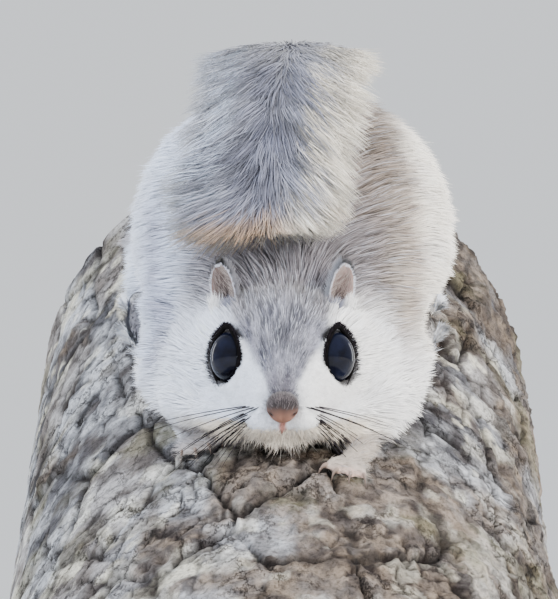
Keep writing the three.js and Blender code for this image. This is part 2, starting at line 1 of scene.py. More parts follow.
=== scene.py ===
# A Siberian flying squirrel in its winter coat, head down on a cut length of trunk, on a display stand.
# Shapes are worked out in millimetres in the animal's own frame (x to its left, y from nose to tail,
# z away from the bark) and placed in the model's frame, in metres, when each mesh is made.
import math

import bpy
import numpy as np
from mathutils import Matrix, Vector
from mathutils.bvhtree import BVHTree
from mathutils.kdtree import KDTree


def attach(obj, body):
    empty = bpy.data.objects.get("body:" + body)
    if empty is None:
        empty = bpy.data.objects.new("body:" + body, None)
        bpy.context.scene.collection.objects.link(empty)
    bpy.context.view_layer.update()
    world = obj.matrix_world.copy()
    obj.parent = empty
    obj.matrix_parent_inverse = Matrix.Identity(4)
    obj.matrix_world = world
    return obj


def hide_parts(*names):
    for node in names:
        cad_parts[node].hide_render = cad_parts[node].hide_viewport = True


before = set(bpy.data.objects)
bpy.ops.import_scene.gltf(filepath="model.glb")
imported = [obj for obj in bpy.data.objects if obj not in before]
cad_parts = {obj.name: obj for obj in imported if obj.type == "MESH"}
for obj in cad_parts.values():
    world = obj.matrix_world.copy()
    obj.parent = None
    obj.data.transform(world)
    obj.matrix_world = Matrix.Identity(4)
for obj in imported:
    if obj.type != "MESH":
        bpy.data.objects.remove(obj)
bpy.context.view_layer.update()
rng = np.random.default_rng(41)

# Placing of the animal and trunk, with the same named sizes as the solids
LEAN, HEAD_LIFT = math.radians(30), math.radians(10)
LOW, HIGH, LOW_RADIUS, HIGH_RADIUS = -62, 143, 61, 52
PLATE, FISSURE, ROUGH, SEED = 21, 2.4, 0.7, 7
BASE_THICK, CLEAR = 12, 8
HEAD_AT = np.array([0, 17.4, 16.5])
SHIFT = 2.2


def turn_x(angle):
    c, s = math.cos(angle), math.sin(angle)
    return np.array([[1, 0, 0], [0, c, -s], [0, s, c]])


def trunk_radius(y):
    return LOW_RADIUS + (HIGH_RADIUS - LOW_RADIUS) * (y - LOW) / (HIGH - LOW)


TURN = turn_x(LEAN)
MIDDLE_Y = (LOW + HIGH) / 2
MIDDLE = np.array([0, MIDDLE_Y, -trunk_radius(MIDDLE_Y)])
LOW_RIM = TURN @ (np.array([0, LOW, -2 * LOW_RADIUS]) - MIDDLE)
ORIGIN = np.array([0, 0, BASE_THICK + CLEAR - LOW_RIM[2]]) - TURN @ MIDDLE
HEAD_TURN = turn_x(-HEAD_LIFT)


def to_world(p):
    return (p @ TURN.T + ORIGIN) / 1000


def to_animal(p):
    return (p * 1000 - ORIGIN) @ TURN


def head_to_animal(p):
    return p @ HEAD_TURN.T + HEAD_AT


def animal_to_head(p):
    return (p - HEAD_AT) @ HEAD_TURN


# Numbers
def unit(v):
    return v / np.maximum(np.linalg.norm(v, axis=-1, keepdims=True), 1e-9)


def step(x, low, high):
    t = np.clip((x - low) / (high - low), 0, 1)
    return t * t * (3 - 2 * t)


def blend(a, b, t):
    """Mix of two numbers or colours by a share, which may be one for each point."""
    t = np.asarray(t)
    if t.ndim and max(np.ndim(a), np.ndim(b)):
        t = t[:, None]
    return np.asarray(a) * (1 - t) + np.asarray(b) * t


def srgb(r, g, b):
    c = np.array([r, g, b]) / 255
    return np.where(c < 0.04045, c / 12.92, ((c + 0.055) / 1.055) ** 2.4)


def lattice(i, j, k, seed):
    h = (i * 374761393 + j * 668265263 + k * 1440662683 + seed * 974634777) & 0xFFFFFFFF
    h = ((h ^ (h >> 13)) * 1274126177) & 0xFFFFFFFF
    return ((h ^ (h >> 16)) & 0xFFFFFF) / 0xFFFFFF


def value_noise(p, size, seed=0):
    """Smooth noise from -1 to 1 at points, with lumps of a size in mm."""
    q = p / size
    cell = np.floor(q).astype(np.int64)
    f = q - cell
    f = f * f * (3 - 2 * f)
    total = 0
    for a in (0, 1):
        for b in (0, 1):
            for c in (0, 1):
                share = [f[:, k] if far else 1 - f[:, k] for k, far in enumerate((a, b, c))]
                w = share[0] * share[1] * share[2]
                total = total + w * lattice(cell[:, 0] + a, cell[:, 1] + b, cell[:, 2] + c, seed)
    return total * 2 - 1


def vector_noise(p, size, seed=0):
    return np.stack([value_noise(p, size, seed + s) for s in range(3)], -1)


def spline(points, at):
    """Points of a Catmull-Rom curve at parameters from 0 to 1."""
    pts = np.asarray(points, float)
    pts = np.vstack([2 * pts[0] - pts[1], pts, 2 * pts[-1] - pts[-2]])
    s = np.clip(np.asarray(at), 0, 1) * (len(pts) - 3)
    i = np.minimum(s.astype(int), len(pts) - 4)
    t = (s - i)[:, None]
    a, b, c, d = pts[i], pts[i + 1], pts[i + 2], pts[i + 3]
    return 0.5 * (2 * b + (c - a) * t + (2 * a - 5 * b + 4 * c - d) * t**2 + (3 * b - a - 3 * c + d) * t**3)


def line_distance(p, line):
    """Distance from points to a broken line, and the place along it from 0 to 1."""
    best = np.full(len(p), 1e9)
    place = np.zeros(len(p))
    for i in range(len(line) - 1):
        a, d = line[i], line[i + 1] - line[i]
        t = np.clip(((p - a) @ d) / (d @ d), 0, 1)
        gap = np.linalg.norm(p - a - t[:, None] * d, axis=1)
        near = gap < best
        best[near], place[near] = gap[near], ((i + t) / (len(line) - 1))[near]
    return best, place


def fewer(count):
    """A number of tufts, kept as given by a factor of 1."""
    return int(count * (1))


# Meshes
def put(piece, slot, *nodes):
    """A piece rides on the part's one body and stands for its nodes, whose solids are hidden; the slot is not
    used.
    """
    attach(piece, "root")
    if nodes:
        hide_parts(*nodes)


def side_name(side):
    return "left" if side > 0 else "right"


def make_object(name, verts, faces, materials, colours=None, uv=None, slots=None, world=False, normals=None):
    """An object from arrays: points in the animal's frame, and triangles or quads."""
    faces = np.asarray(faces)
    mesh = bpy.data.meshes.new(name)
    mesh.vertices.add(len(verts))
    mesh.vertices.foreach_set("co", (verts if world else to_world(verts)).astype(np.float32).ravel())
    mesh.loops.add(faces.size)
    mesh.loops.foreach_set("vertex_index", faces.astype(np.int32).ravel())
    mesh.polygons.add(len(faces))
    mesh.polygons.foreach_set("loop_start", np.arange(0, faces.size, faces.shape[1], dtype=np.int32))
    if slots is not None:
        mesh.polygons.foreach_set("material_index", slots.astype(np.int32))
    mesh.update(calc_edges=True)
    mesh.polygons.foreach_set("use_smooth", np.ones(len(faces), bool))
    if colours is not None:
        layer = mesh.color_attributes.new(name="Col", type="FLOAT_COLOR", domain="POINT")
        rgba = np.ones((len(verts), 4), np.float32)
        rgba[:, :3] = np.clip(colours, 0, 1)
        layer.data.foreach_set("color", rgba.ravel())
    if uv is not None:
        layer = mesh.uv_layers.new(name="OFBake")
        layer.data.foreach_set("uv", uv[faces.ravel()].astype(np.float32).ravel())
    if normals is not None:
        mesh.normals_split_custom_set_from_vertices((normals @ TURN.T).astype(np.float32))
    obj = bpy.data.objects.new(name, mesh)
    bpy.context.scene.collection.objects.link(obj)
    for material in materials:
        mesh.materials.append(material)
    return obj


def grid_faces(rows, columns, wrap=False, flip=False):
    """Quads of a grid of rows by columns of points, closed round the columns if wrapped."""
    i, j = np.meshgrid(np.arange(rows - 1), np.arange(columns if wrap else columns - 1), indexing="ij")
    k = (j + 1) % columns
    quads = np.stack([i * columns + j, i * columns + k, (i + 1) * columns + k, (i + 1) * columns + j], -1)
    quads = quads.reshape(-1, 4)
    return quads[:, ::-1] if flip else quads


def triangles(quads):
    return np.vstack([quads[:, [0, 1, 2]], quads[:, [0, 2, 3]]])


def capped_tube(rings, start, end):
    """Triangles of a closed tube of rings, an array of rows by count by 3, with a point at each end."""
    rows, count, _ = rings.shape
    verts = np.vstack([rings.reshape(-1, 3), start, end])
    ring = np.arange(count)
    turn = (ring + 1) % count
    last = (rows - 1) * count
    caps = np.vstack(
        [
            np.stack([turn, ring, np.full(count, rows * count)], -1),
            np.stack([last + ring, last + turn, np.full(count, rows * count + 1)], -1),
        ]
    )
    tris = np.vstack([triangles(grid_faces(rows, count, wrap=True)), caps])
    a, b, c = (verts[tris[:, k]] - verts[0] for k in range(3))
    return verts, tris[:, ::-1] if (a * np.cross(b, c)).sum() < 0 else tris


def tube_along(path, radius, count, flat=1.0, tip=0.0):
    """A closed tube along a path, with a radius at each of its points; the tip goes past the last."""
    along = unit(np.gradient(path, axis=0))
    across = unit(np.cross(along, [0, 0, 1.0]))
    up = np.cross(across, along)
    turn = np.arange(count) / count * 2 * np.pi
    rings = path[:, None] + across[:, None] * (np.cos(turn) * flat)[None, :, None] * radius[:, None, None]
    rings = rings + up[:, None] * np.sin(turn)[None, :, None] * radius[:, None, None]
    return capped_tube(rings, path[0], path[-1] + along[-1] * tip)


def joined(parts):
    """Points, faces and colours of many small meshes as one."""
    verts, faces, colours = zip(*parts)
    starts = np.cumsum([0] + [len(v) for v in verts[:-1]])
    return np.vstack(verts), np.vstack([f + s for f, s in zip(faces, starts)]), np.vstack(colours)


def vertex_normals(verts, tris):
    a, b, c = verts[tris[:, 0]], verts[tris[:, 1]], verts[tris[:, 2]]
    face = np.cross(b - a, c - a)
    normals = np.zeros_like(verts)
    for k in range(3):
        for axis in range(3):
            normals[:, axis] += np.bincount(tris[:, k], face[:, axis], len(verts))
    return unit(normals)


class Ring:
    """Neighbours of each vertex, for smoothing points or values over a mesh."""

    def __init__(self, tris, count):
        edges = np.vstack([tris[:, [0, 1]], tris[:, [1, 2]], tris[:, [2, 0]]])
        self.a, self.b = edges[:, 0], edges[:, 1]
        self.count = count
        self.degree = np.maximum(np.bincount(self.a, minlength=count), 1)

    def mean(self, values):
        values = values.reshape(self.count, -1)
        out = np.stack([np.bincount(self.a, v[self.b], self.count) for v in values.T], -1)
        return out / self.degree[:, None]

    def smooth(self, values, times, share=0.5, weight=None):
        shape = values.shape
        values = values.reshape(self.count, -1)
        w = share if weight is None else share * weight[:, None]
        for _ in range(times):
            values = values + w * (self.mean(values) - values)
        return values.reshape(shape)


# Materials
def material(name, colour=(0.5, 0.5, 0.5), roughness=0.5, **sockets):
    made = bpy.data.materials.new(name)
    made.use_nodes = True
    shader = made.node_tree.nodes["Principled BSDF"]
    shader.inputs["Base Color"].default_value = (*colour, 1)
    shader.inputs["Roughness"].default_value = roughness
    for key, value in sockets.items():
        shader.inputs[key.replace("_", " ")].default_value = value
    return made


class Nodes:
    """Short ways to add and join shader nodes."""

    def __init__(self, made):
        self.tree = made.node_tree
        self.shader = self.tree.nodes["Principled BSDF"]

    def add(self, kind, **settings):
        node = self.tree.nodes.new("ShaderNode" + kind)
        for key, value in settings.items():
            if key in node.inputs.keys():
                node.inputs[key].default_value = value
            else:
                setattr(node, key, value)
        return node

    def link(self, source, target):
        self.tree.links.new(source, target)
        return source

    def attribute(self, name="Col"):
        return self.add("Attribute", attribute_name=name).outputs["Color"]

    def coordinates(self, scale=(1, 1, 1)):
        where = self.add("TexCoord").outputs["Object"]
        mapping = self.add("Mapping")
        mapping.inputs["Scale"].default_value = scale
        self.link(where, mapping.inputs["Vector"])
        return mapping.outputs["Vector"]

    def noise(self, scale, detail=4, where=None, roughness=0.5):
        node = self.add("TexNoise", Scale=scale, Detail=detail, Roughness=roughness)
        self.link(where or self.coordinates(), node.inputs["Vector"])
        return node.outputs["Fac"]

    def ramp(self, value, stops):
        node = self.add("ValToRGB")
        points = node.color_ramp.elements
        while len(points) < len(stops):
            points.new(0.5)
        for point, (place, colour) in zip(points, stops):
            point.position = place
            point.color = (*colour, 1) if len(colour) == 3 else colour
        self.link(value, node.inputs["Fac"])
        return node.outputs["Color"]

    def mix(self, a, b, share, how="MIX"):
        node = self.add("MixRGB", blend_type=how)
        for value, socket in ((share, "Fac"), (a, "Color1"), (b, "Color2")):
            if isinstance(value, bpy.types.NodeSocket):
                self.link(value, node.inputs[socket])
            else:
                node.inputs[socket].default_value = value if np.ndim(value) == 0 else (*value, 1)
        return node.outputs["Color"]

    def bump(self, height, strength, distance):
        node = self.add("Bump", Strength=strength, Distance=distance)
        self.link(height, node.inputs["Height"])
        self.link(node.outputs["Normal"], self.shader.inputs["Normal"])
        return node

    def colour(self, source):
        self.link(source, self.shader.inputs["Base Color"])

    def roughness(self, value, low, high):
        node = self.add("MapRange")
        node.inputs["To Min"].default_value, node.inputs["To Max"].default_value = low, high
        self.link(value, node.inputs["Value"])
        self.link(node.outputs["Result"], self.shader.inputs["Roughness"])


def painted_material(name, roughness, **sockets):
    """A material that takes its colour from the piece's own points."""
    made = material(name, roughness=roughness, **sockets)
    nodes = Nodes(made)
    nodes.colour(nodes.attribute())
    return made, nodes


def skin_material():
    made = material("fur_skin", roughness=0.85, Sheen_Weight=0.3, Specular_IOR_Level=0.15)
    nodes = Nodes(made)
    streaks = nodes.noise(900, 5, nodes.coordinates((1, 0.35, 1)), 0.65)
    shade = nodes.ramp(streaks, [(0.3, (0.72, 0.72, 0.72)), (0.7, (1, 1, 1))])
    nodes.colour(nodes.mix(nodes.attribute(), shade, 1.0, "MULTIPLY"))
    nodes.bump(streaks, 0.5, 0.0006)
    return made


FUR, _ = painted_material("fur_tufts", 0.62, Sheen_Weight=0.35, Sheen_Roughness=0.5, Specular_IOR_Level=0.25)
DARK_FUR, _ = painted_material("dark_fur", 0.8, Specular_IOR_Level=0.06)  # eye rims and whiskers
SKIN = skin_material()

# Colours of the coat; ICE is also painted cool light on the right side, and CREAM in places painted warm
# light on the left
WHITE = srgb(246, 246, 248)
CREAM = srgb(248, 240, 226)
ICE = srgb(214, 225, 248)
SILVER = srgb(196, 199, 212)
GREY = srgb(152, 154, 170)
SLATE = srgb(92, 95, 116)
BROWN = srgb(128, 112, 102)
UMBER = srgb(92, 78, 70)
TAN = srgb(198, 160, 122)
PINK = srgb(226, 188, 174)
DARK = srgb(30, 26, 30)

# The nose pad and the opening of the left eye in the head's frame, as in the solids
NOSE_AT, NOSE_SIZE = np.array([0, -16.3, -6.1]), np.array([3.15, 2.2, 2.95])
EYE_AT, EYE_AXIS, EYE_UP = np.array([11.3, -2.4, 0.4]), np.array([0.76, -0.62, 0.16]), np.array([0.1, 0, 1])
EYE_RADIUS, EYE_DOME, EYE_DEEP, EYE_LONG, EYE_NARROW, LID_RING = 4.3, 2.9, 1.4, 1.16, 0.94, 4.95


def basis(axis, up):
    """Columns x, y and z: z along the axis and x as near as it can be to up."""
    z = unit(np.asarray(axis, float))
    y = unit(np.cross(z, up))
    return np.stack([np.cross(y, z), y, z], -1)


EYE_BASIS = basis(EYE_AXIS, EYE_UP)


def mirror(p):
    """Points of the right side moved over to the left."""
    return np.stack([np.abs(p[:, 0]), p[:, 1], p[:, 2]], -1)


def eye_place(h):
    """Place of the head's points round the nearer eye, 1 at its rim, with height above it and eye's frame."""
    q = (mirror(h) - EYE_AT) @ EYE_BASIS
    return np.hypot(q[:, 0] / EYE_LONG, q[:, 1] / EYE_NARROW) / EYE_RADIUS, q[:, 2], q


# Lines of the mouth and philtrum in the head's frame, and of the left flap's edge in the animal's
MOUTH = np.array(
    [[-6.8, -9.6, -13.4], [-3.4, -14.6, -13], [0, -16.6, -11.9], [3.4, -14.6, -13], [6.8, -9.6, -13.4]]
)
PHILTRUM = np.array([[0, -18.2, -8], [0, -17, -10], [0, -16.4, -11.9]])
FLAP = np.array(
    [
        [19, 16, -1.5], [23.5, 26, -1], [28.2, 38, -0.5], [31.8, 52, -1],
        [33, 66, -3], [33, 80, -5], [32, 94, -7], [30, 106, -8.5],
    ]
)


def soft_band(x, middle, half):
    """1 at a middle value, falling off smoothly on both sides of it."""
    return np.exp(-(((x - middle) / half) ** 2))


def between(x, start, full, fade, end):
    """1 from full to fade, falling to 0 at start and end."""
    return step(x, start, full) * (1 - step(x, fade, end))


def marks(p, n):
    """Colour of the coat at points of the animal, with outward normals, with painted light and shade laid
    over it.
    """
    h = animal_to_head(p)
    x, y = p[:, 0], p[:, 1]
    patch = value_noise(p, 9, 3) * 0.5 + value_noise(p, 3.5, 4) * 0.3
    fine = value_noise(p, 1.8, 6)

    # flanks: white over a brown-grey saddle, bluish on the right with painted cool light
    left = step(x + 4 * patch, -6, 16)
    stroke = value_noise(p * np.array([0.35, 1, 0.6]), 2.2, 7)
    c = blend(ICE, SILVER, 0.4 * step(patch, -0.2, 0.5) + 0.3 * step(stroke, 0, 0.6))
    # painted warm light on the left: a cream flank, and the saddle browner there and greyer on the right
    c = blend(c, blend(blend(WHITE, CREAM, 0.7), SILVER, 0.25 * step(stroke, 0.1, 0.6)), left)
    reach = blend(21, 22.5, left)
    saddle = (1 - step(np.abs(x - 3) + 3 * patch, reach - 9, reach)) * step(n[:, 2] + 0.2 * patch, 0.0, 0.55)
    c = blend(c, blend(blend(GREY, SILVER, 0.45), blend(BROWN, UMBER, 0.2 + 0.3 * patch), left), 0.9 * saddle)
    c = blend(c, WHITE, 0.8 * step(-n[:, 2] + 0.2 * patch, 0.0, 0.5))

    # the fold inside the flap's edge is darkened with painted shade, and the edge is white
    edge, _ = line_distance(mirror(p), FLAP)
    along = between(y, 38, 47, 68, 80)
    # the fold's painted shade is slate on the right and umber on the left, as painted cool and warm light
    c = blend(c, blend(SLATE, UMBER, 0.3 + 0.6 * left), 0.92 * soft_band(edge, 6.0, 2.4) * along)
    c = blend(c, WHITE, (1 - step(edge, 2.0, 3.6)))

    # head: white cheeks and brows round a streaked grey forehead
    hx, hy, hz = h.T
    ax = np.abs(hx)
    on_head = 1 - step(hy + 2.5 * patch, 15, 24)
    # the face's right side is bluish with painted cool light
    face = blend(blend(WHITE, ICE, 0.7 * (1 - step(hx, -6, 8))), SILVER, 0.25 * step(patch, 0, 0.6))
    half = 2.9 + 7.4 * step(hy, -15, 1) + 2.2 * step(hy, 4, 14)
    line = value_noise(h * np.array([1, 0.2, 0.2]), 0.75, 12)
    crown = 1 - step(ax + 1.5 * patch + 0.7 * line, half * 0.74, half * 1.08)
    crown = crown * step(hz - 0.12 * hy, -5.6, -2.2)
    dark = np.clip(0.5 + 0.35 * patch + 0.2 * fine + 0.75 * line, 0, 1)
    streak = blend(srgb(154, 154, 168), srgb(66, 66, 84), dark)
    streak = blend(streak, blend(BROWN, GREY, np.clip(0.45 + 0.5 * line, 0, 1)), 0.65 * step(hy, 0, 10))
    face = blend(face, streak, crown * 0.96)
    bridge = soft_band(ax, 0, 3.4) * step(-hy, 8.5, 14) * step(hz, -7, -4.5)
    face = blend(face, blend(UMBER, SLATE, 0.5), 0.75 * bridge)
    lips = step(-hz, 10, 12.5) * step(-hy, 1, 7)
    face = blend(face, srgb(242, 229, 210), 0.9 * lips)
    # painted shade on the chin's downward-facing underside
    chin_shade = step(-n[:, 2] - 0.25 * n[:, 1], 0.3, 0.75) * step(-hz, 13.2, 14.6)
    face = blend(face, srgb(112, 100, 98), 0.75 * chin_shade)
    round_eye, eye_height, q = eye_place(h)
    lobe = 0.2 * np.clip(-q[:, 1] / EYE_RADIUS, -0.4, 1) + 0.05 * patch
    rim = (1 - step(round_eye - lobe, 1.12, 1.24)) * (np.abs(eye_height) < 3.5)
    face = blend(face, DARK, 0.96 * rim)
    # the mouth's line is darkened with painted shade in its crease
    gap, _ = line_distance(h, MOUTH)
    face = blend(face, srgb(110, 84, 78), 0.4 * (1 - step(gap, 0.25, 0.9)))
    cleft = (1 - step(ax, 0.4, 0.95)) * step(-hz, 7.6, 8.4) * (1 - step(-hz, 11.6, 12.4)) * (hy < -9)
    face = blend(face, srgb(196, 130, 116), 0.92 * cleft)
    c = blend(c, face, on_head)

    # nape, and painted shade behind each cheek and beside each shoulder
    nape = step(hy, 13, 19) * (1 - step(y, 46, 60))
    nape = nape * step(n[:, 2], 0.1, 0.5) * (1 - step(np.abs(x), 12, 22))
    c = blend(c, blend(GREY, BROWN, 0.45), 0.75 * nape)
    behind = np.exp(-(((np.abs(x) - 21) / 3.5) ** 2) - ((y - 31) / 5) ** 2) * step(n[:, 2], -0.3, 0.3)
    c = blend(c, GREY, 0.35 * behind)
    hollow_shade = soft_band(np.abs(x), 22.5, 3.0) * between(y, 27, 35, 56, 74) * step(n[:, 2], -0.4, 0.2)
    # the painted shade beside the shoulder is lavender-grey on the right and brown on the left, as painted
    # cool and warm light
    c = blend(c, blend(srgb(138, 138, 164), srgb(146, 126, 114), left), 0.8 * hollow_shade * (0.75 + 0.4 * stroke))

    # paws near the bark, and the hind feet, greyed with painted shade
    paws = (1 - step(y, 12, 17)) * (1 - step(bark_height(p), 4.4, 6.2)) + step(y, 117, 124)
    paw_shade_colour = blend(srgb(158, 144, 136), srgb(120, 112, 112), np.clip(0.4 + 0.6 * fine, 0, 1))
    return blend(c, paw_shade_colour, 0.7 * np.clip(paws, 0, 1))


# Skin
FLESH = ["head", "neck", "torso"] + [
    part + side
    for side in ("_left", "_right")
    for part in ("foreleg", "hindleg", "forepaw", "hindpaw", "patagium")
]


def flesh_arrays(nodes):
    """Points in the animal's frame and triangles of some of the frame's nodes."""
    verts, tris, count = [], [], 0
    for node in nodes:
        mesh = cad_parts[node].data
        co = np.empty(len(mesh.vertices) * 3, np.float32)
        mesh.vertices.foreach_get("co", co)
        mesh.calc_loop_triangles()
        t = np.empty(len(mesh.loop_triangles) * 3, np.int32)
        mesh.loop_triangles.foreach_get("vertices", t)
        verts.append(to_animal(co.reshape(-1, 3).astype(float)))
        tris.append(t.reshape(-1, 3) + count)
        count += len(mesh.vertices)
    return np.vstack(verts), np.vstack(tris)


def ball(middle, size, wide=24, high=16):
    u = np.arange(wide) / wide * 2 * np.pi
    v = (np.arange(1, high) / high) * np.pi
    flat, tall = np.sin(v), np.cos(v)
    sides = [np.outer(flat, np.cos(u)), np.outer(flat, np.sin(u)), np.outer(tall, np.ones(wide))]
    verts, tris = capped_tube(np.stack(sides, -1)[::-1], [0, 0, -1], [0, 0, 1])
    return verts * size + np.asarray(middle), tris


def remeshed(verts, tris, voxel):
    """One closed surface round all the pieces, by voxels."""
    obj = make_object("skin_source", verts, tris, [])
    remesh = obj.modifiers.new("remesh", "REMESH")
    remesh.mode, remesh.voxel_size, remesh.adaptivity = "VOXEL", voxel / 1000, 0
    evaluated = obj.evaluated_get(bpy.context.evaluated_depsgraph_get())
    mesh = evaluated.to_mesh()
    co = np.empty(len(mesh.vertices) * 3, np.float32)
    mesh.vertices.foreach_get("co", co)
    mesh.calc_loop_triangles()
    t = np.empty(len(mesh.loop_triangles) * 3, np.int32)
    mesh.loop_triangles.foreach_get("vertices", t)
    evaluated.to_mesh_clear()
    bpy.data.objects.remove(obj)
    return to_animal(co.reshape(-1, 3).astype(float)), t.reshape(-1, 3).astype(np.int64)


def nearest_part(points, groups):
    """Index of the group of nodes that each point lies nearest to."""
    best = np.full(len(points), 1e9)
    which = np.zeros(len(points), int)
    for g, nodes in enumerate(groups):
        verts, tris = flesh_arrays(nodes)
        tree = BVHTree.FromPolygons(verts.tolist(), tris.tolist())
        lo, hi = verts.min(0) - 6, verts.max(0) + 6
        near = np.flatnonzero(((points > lo) & (points < hi)).all(1))
        for i in near:
            gap = tree.find_nearest(Vector(points[i]), 8)[3]
            if gap is not None and gap < best[i]:
                best[i], which[i] = gap, g
    return which


# Parts of the skin, with the depth of the coat, the length of its tufts and their number on a square mm
HEAD, PAW = 0, 3
GROUPS = [
    ["head"],
    ["neck", "torso"],
    ["foreleg_left", "foreleg_right", "hindleg_left", "hindleg_right"],
    ["forepaw_left", "forepaw_right", "hindpaw_left", "hindpaw_right"],
    ["patagium_left", "patagium_right"],
]
COAT_DEPTH = [2.2, 2.8, 1.6, 0.3, 0.4]
COAT_LENGTH = [5.2, 7.0, 5.6, 2.2, 2.6]
COAT_DENSITY = [7.0, 4.1, 3.9, 6.2, 4.8]
SKIN_VOXEL = 0.68


def make_skin():
    verts, tris = flesh_arrays(FLESH)
    for s in (-1, 1):  # shoulders, cheeks, lower cheeks and haunches, which the coat rounds over
        for middle, size in (
            ([s * 17.5, 33, 9], [7.5, 12, 9]),
            ([s * 17.5, 22, 5.5], [8, 11.5, 6.5]),
            ([s * 10.5, 13, 5.6], [7, 7, 4.6]),
            ([s * 24, 92, 4], [8, 14, 8]),
        ):
            v, t = ball(middle, size)
            tris = np.vstack([tris, t + len(verts)])
            verts = np.vstack([verts, v])
    verts, tris = remeshed(verts, tris, SKIN_VOXEL)
    ring = Ring(tris, len(verts))
    part = nearest_part(verts, GROUPS)
    fine = ((part == HEAD) | (part == PAW)).astype(float)
    fine = ring.smooth(fine, 12)
    verts = ring.smooth(verts, 3, 0.6)
    verts = ring.smooth(verts, 34, 0.6, (1 - fine) ** 2)
    normals = vertex_normals(verts, tris)

    # down from the solids' surface by the depth of the coat
    h = animal_to_head(verts)
    face = 1 - step(h[:, 1], -14, 10)
    depth = np.choose(part, COAT_DEPTH)
    depth = np.where(part == HEAD, 2.4 - 2.1 * face, depth)
    round_eye, _, _ = eye_place(h)
    depth = np.where((part == HEAD) & (round_eye < 1.6), 0.25, depth)
    depth = ring.smooth(depth, 14)
    verts = verts - normals * depth[:, None]

    # mouth line and philtrum
    h = animal_to_head(verts)
    for line, wide, deep in ((MOUTH, 0.55, 0.7), (PHILTRUM, 0.45, 0.5)):
        gap, _ = line_distance(h, line)
        verts = verts - normals * (deep * soft_band(gap, 0, wide))[:, None]

    # the chin is drawn up behind the lips
    drop = np.exp(-((h[:, 0] / 5.5) ** 2) - ((h[:, 1] + 11) / 5) ** 2) * step(-h[:, 2], 13.4, 16)
    verts = verts + (np.array([0, 0.6, 1.9]) @ HEAD_TURN.T) * drop[:, None]

    # a fold inside the flap's edge, deepest beside the shoulder
    gap, _ = line_distance(mirror(verts), FLAP)
    along = between(verts[:, 1], 32, 44, 74, 86) * step(verts[:, 2], -5, -3)
    inside = soft_band(gap, 4.6, 1.9) * along
    verts = verts - normals * (3.0 * inside - 1.0 * along * soft_band(gap, 0, 1.6))[:, None]
    verts = ring.smooth(verts, 2, 0.4)
    return verts, tris, vertex_normals(verts, tris), part, ring


def bare_toes(p):
    """1 at the toes' bare ends, 0 on the furred paws."""
    y = p[:, 1]
    fore = (1 - step(y, -3.2, -0.5)) * (p[:, 0] > 0)
    return np.maximum(fore, step(y, 126.5, 129))


def bark_height(p):
    """Height of points above the trunk's mean surface."""
    r = trunk_radius(p[:, 1])
    return np.hypot(p[:, 0], p[:, 2] + r) - r


# Tufts
def unwrap(p, island=0):
    """Place of points on an unwrap of the skin: round the body, and from nose to rump."""
    if island == 1:  # tail, upper and lower side
        return np.stack([0.84 + (p[:, 0] + 24) / 48 * 0.14, 0.02 + p[:, 1] / 130 * 0.46], -1)
    around = np.arctan2(p[:, 0], p[:, 2] - 8) / (2 * np.pi) + 0.5
    along = (p[:, 1] + 0.45 * np.hypot(p[:, 0], p[:, 2] - 8) + 12) / 160
    return np.stack([0.01 + 0.8 * around, 0.01 + 0.97 * np.clip(along, 0, 1)], -1)


MOST_TRIANGLES = 190_000  # of a coat piece
TUFT_FLAT = 0.55
TUFT_SHARES = {1: [0], 2: [0, 0.5], 3: [0, 0.35, 0.7]}
TUFT_WIDTHS = {1: [1.0], 2: [0.9, 1.0], 3: [0.85, 1.0, 0.7]}


class Coat:
    """Tufts gathered as arrays: each is a closed, tapered, three-sided blade."""

    def __init__(self):
        self.parts = []

    def add(self, root, normal, direction, bend, length, width, colours, uv, rings=2, lit=0.75, fade=0):
        """Direction and bend are in units of the length. Colours are at root and tip, and fade keeps the
        first one longer. Lit is the share of the surface's normal in the tufts' own."""
        count = len(root)
        shares, widths = TUFT_SHARES[rings], TUFT_WIDTHS[rings]
        width = np.broadcast_to(width, count)
        direction = unit(direction)
        across = unit(np.cross(direction, normal))
        verts = np.empty((count, rings * 3 + 1, 3))
        soft = np.empty((count, rings * 3 + 1, 3))
        col = np.empty((count, rings * 3 + 1, 3))
        patch = np.empty((count, rings * 3 + 1, 2))
        low, high = colours
        for r, (s, w) in enumerate(zip(shares, widths)):
            centre = root + (direction * s + bend * s * s) * length[:, None]
            along = unit(direction + 2 * s * bend)
            up = unit(np.cross(across, along))
            for q in range(3):
                a = 2 * np.pi * q / 3 + np.pi / 2
                offset = across * math.cos(a) + up * (math.sin(a) * TUFT_FLAT)
                verts[:, r * 3 + q] = centre + offset * (width * w)[:, None]
                soft[:, r * 3 + q] = normal * lit + unit(offset) * 0.5
                col[:, r * 3 + q] = low + (high - low) * (s**fade if fade else min(1, s * 1.3))
                patch[:, r * 3 + q] = uv + np.array([0.0012 * math.cos(a), 0.003 * s - 0.0015])
        verts[:, -1] = root + (direction + bend) * length[:, None]
        soft[:, -1] = normal
        col[:, -1] = high
        patch[:, -1] = uv + np.array([0, 0.0015])
        faces = [[0, 1, 2]]
        for r in range(rings - 1):
            for q in range(3):
                a, b = r * 3 + q, r * 3 + (q + 1) % 3
                faces += [[a, b + 3, b], [a, a + 3, b + 3]]
        last = (rings - 1) * 3
        faces += [[last + q, rings * 3, last + (q + 1) % 3] for q in range(3)]
        self.parts.append((verts, col, patch, np.array(faces), unit(soft)))

    def build(self, name, made_of=FUR):
        """Pieces of joined tufts, numbered, each with no more than the most triangles."""
        number = 0
        for verts, col, patch, faces, soft in self.parts:
            per = MOST_TRIANGLES // len(faces)
            for start in range(0, len(verts), per):
                number += 1
                v, c, lit = (a[start : start + per].reshape(-1, 3) for a in (verts, col, soft))
                u = patch[start : start + per].reshape(-1, 2)
                size = verts.shape[1]
                f = (np.arange(len(v) // size)[:, None, None] * size + faces).reshape(-1, 3)
                put(make_object(f"{name}_{number}", v, f, [made_of], c, u, normals=lit), "grey_fur")


